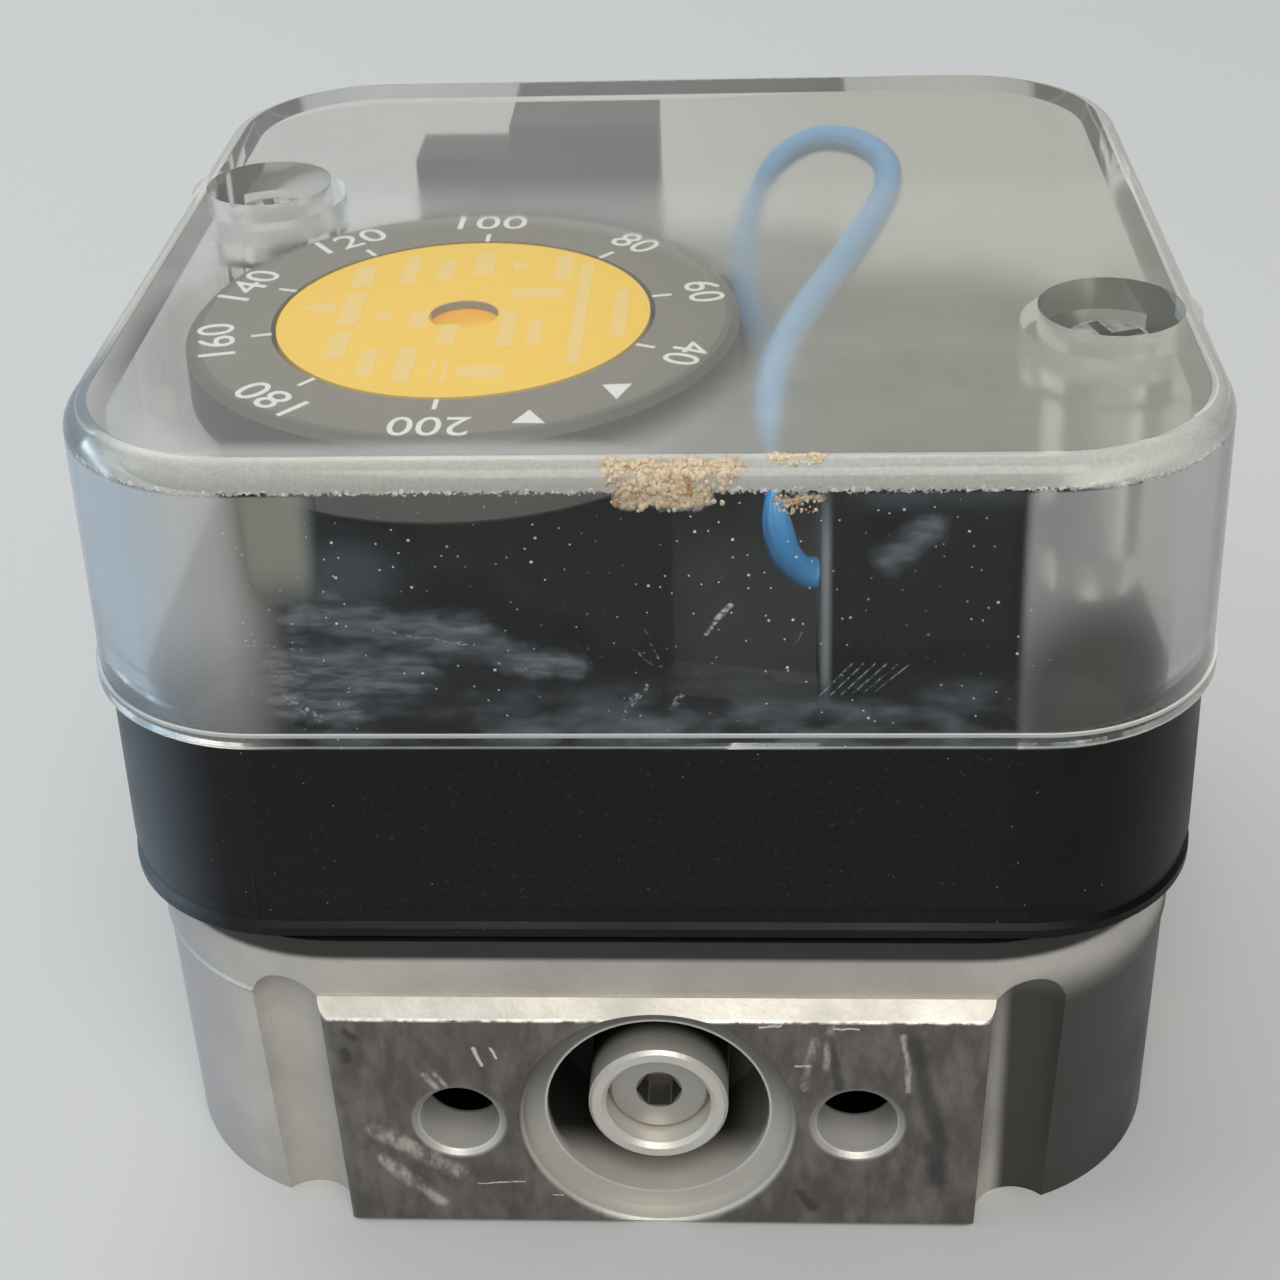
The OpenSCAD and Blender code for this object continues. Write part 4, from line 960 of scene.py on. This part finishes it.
bead_highlight_lines = clear.either(
    clear.band(z, 33.08 * MM, 33.16 * MM),
    clear.both(clear.band(z, 32.68 * MM, 32.6 * MM), 0.5))
bead_highlight_veil = clear.both(clear.band(reach, CORNER_R + 0.03 * MM, CORNER_R + 0.08 * MM), bead_highlight_lines, 0.75)
from_recess = clear.maths("MINIMUM", *[clear.away(axis, (1, 1, 0)) for axis in RECESS_AXES])
recess_glare_veil = clear.both(
    clear.band(from_recess, RECESS_R, RECESS_R - 0.03 * MM),
    clear.band(from_recess, RECESS_R - 0.2 * MM, RECESS_R - 0.1 * MM),
    clear.band(z, 44.3 * MM, 44.5 * MM), 0.32)

# Where any veil lies, less light passes and the surface is rougher.
veil = clear.either(
    top_veil, edge_veil, chips, front_veil, crust_veil, corner_veil, glint_veil, bead_highlight_veil, recess_glare_veil)
clear.feed(clear.shader.inputs["Transmission Weight"], clear.maths("SUBTRACT", 1.0, veil, clamp=True))
veil_roughness = clear.band(veil, 0.02, 0.35, 0.04, 0.17)
clear.rough(clear.maths("MULTIPLY", veil_roughness, clear.band(on_edge, 0, 1, 1.0, 0.5)))

# The tone of each veil: dirt, and the painted light and shade named above; each line lies over those before
# it.
veil_tone = clear.blend(clear.band(x, -6 * MM, 14 * MM), DUST, WARM_DUST)
veil_tone = clear.blend(on_front, veil_tone, SCUFF_GREY)
corner_tone = clear.blend(clear.band(x, -21 * MM, -26 * MM), CORNER_GREY, CORNER_REFLECTION_BLUE)
veil_tone = clear.blend(clear.band(corner_veil, 0.02, 0.2), veil_tone, corner_tone)
edge_in_shade = clear.both(clear.band(x, -24 * MM, -28.5 * MM), at_front)
edge_tone = clear.blend(edge_in_shade, EDGE_RUB, EDGE_SHADE)
veil_tone = clear.blend(clear.either(on_edge, bead_highlight_veil), veil_tone, edge_tone)
veil_tone = clear.blend(corner_glint, veil_tone, GLINT_BLUE)
veil_tone = clear.blend(chips, veil_tone, SPECK_WHITE)
veil_tone = clear.blend(clear.both(on_front, clear.either(speck_veil, scuff_veil, nick_veil)), veil_tone, SPECK_WHITE)
veil_tone = clear.blend(clear.both(on_front, khaki_refraction_shape), veil_tone, KHAKI_REFRACTION)
crust_tone = clear.blend(clear.band(fine, 0.35, 0.65), CRUST, CRUST_PALE)
veil_tone = clear.blend(crust_zone, veil_tone, crust_tone)
clear.colour(clear.blend(clear.band(veil, 0.005, 0.02), LID_TINT, veil_tone))
lid = smoothed_copy("lid", "clear_lid", 32)
lid.visible_shadow = False
lid.visible_diffuse = False
put(lid, clear, "housing", "clear_plastic", "lid")

# ---------------------------------------------------------------- Dried crust on the lid's front edge
# Sealant that was squeezed out has dried in patches on the rounded front edge of the lid, and has crumbled to
# small uneven grains that cling to it. No grain stands above the lid's top.
CRUST_TAN = (0.42, 0.25, 0.12, 1)
SEED = 7
GRAIN_T = 0.22 * MM
EDGE_AXIS_Y = LID_FRONT + EDGE_R

# First and last x in mm, count, lowest and highest lean in radians, and the widest grain in mm.
PATCHES = (
    (-1.4, 4.7, 190, -0.25, 1.15, 0.19), (0.2, 2.6, 120, -0.2, 0.7, 0.24),
    (6.5, 9.0, 60, 0.95, 1.35, 0.13), (6.6, 8.9, 50, -0.3, -0.05, 0.13))

dried = random.Random(SEED)
grains = bmesh.new()
for first, last, count, lowest, highest, size in PATCHES:
    for _ in range(count):
        lean = dried.uniform(lowest, highest)
        outward = Vector((0, -math.cos(max(lean, 0)), math.sin(max(lean, 0))))
        spot = Vector((dried.uniform(first, last) * MM, EDGE_AXIS_Y, EDGE_FOOT + min(lean, 0) * 4 * MM))
        wide = dried.uniform(0.3, 1.0) * size * MM
        headroom = LID_TOP - spot.z - EDGE_R * outward.z
        thick = min(0.4 * wide, GRAIN_T, 0.5 * headroom + 0.02 * MM)
        lump = bmesh.new()
        bmesh.ops.create_icosphere(lump, subdivisions=2, radius=1)
        for v in lump.verts:
            v.co *= dried.uniform(0.70, 1.15)
        squash = Matrix.Diagonal((wide, wide * 0.8, thick, 1))
        facing = outward.to_track_quat("Z", "X").to_matrix().to_4x4()
        add_to(grains, lump, Matrix.Translation(spot + EDGE_R * outward) @ facing @ squash)
for v in grains.verts:
    v.co.z = min(v.co.z, LID_TOP)
for face in grains.faces:
    face.smooth = True
sealant = Finish("dried_sealant", CRUST, 0.8)
patchy = sealant.blend(sealant.band(sealant.noise(0.35 * MM), 0.4, 0.6), CRUST, CRUST_PALE)
tan_part = sealant.band(sealant.noise(0.8 * MM), 0.56, 0.66)
sealant.colour(sealant.blend(tan_part, patchy, CRUST_TAN))
put(piece_from(grains, "dried_crust"), sealant, "housing", "clear_plastic")
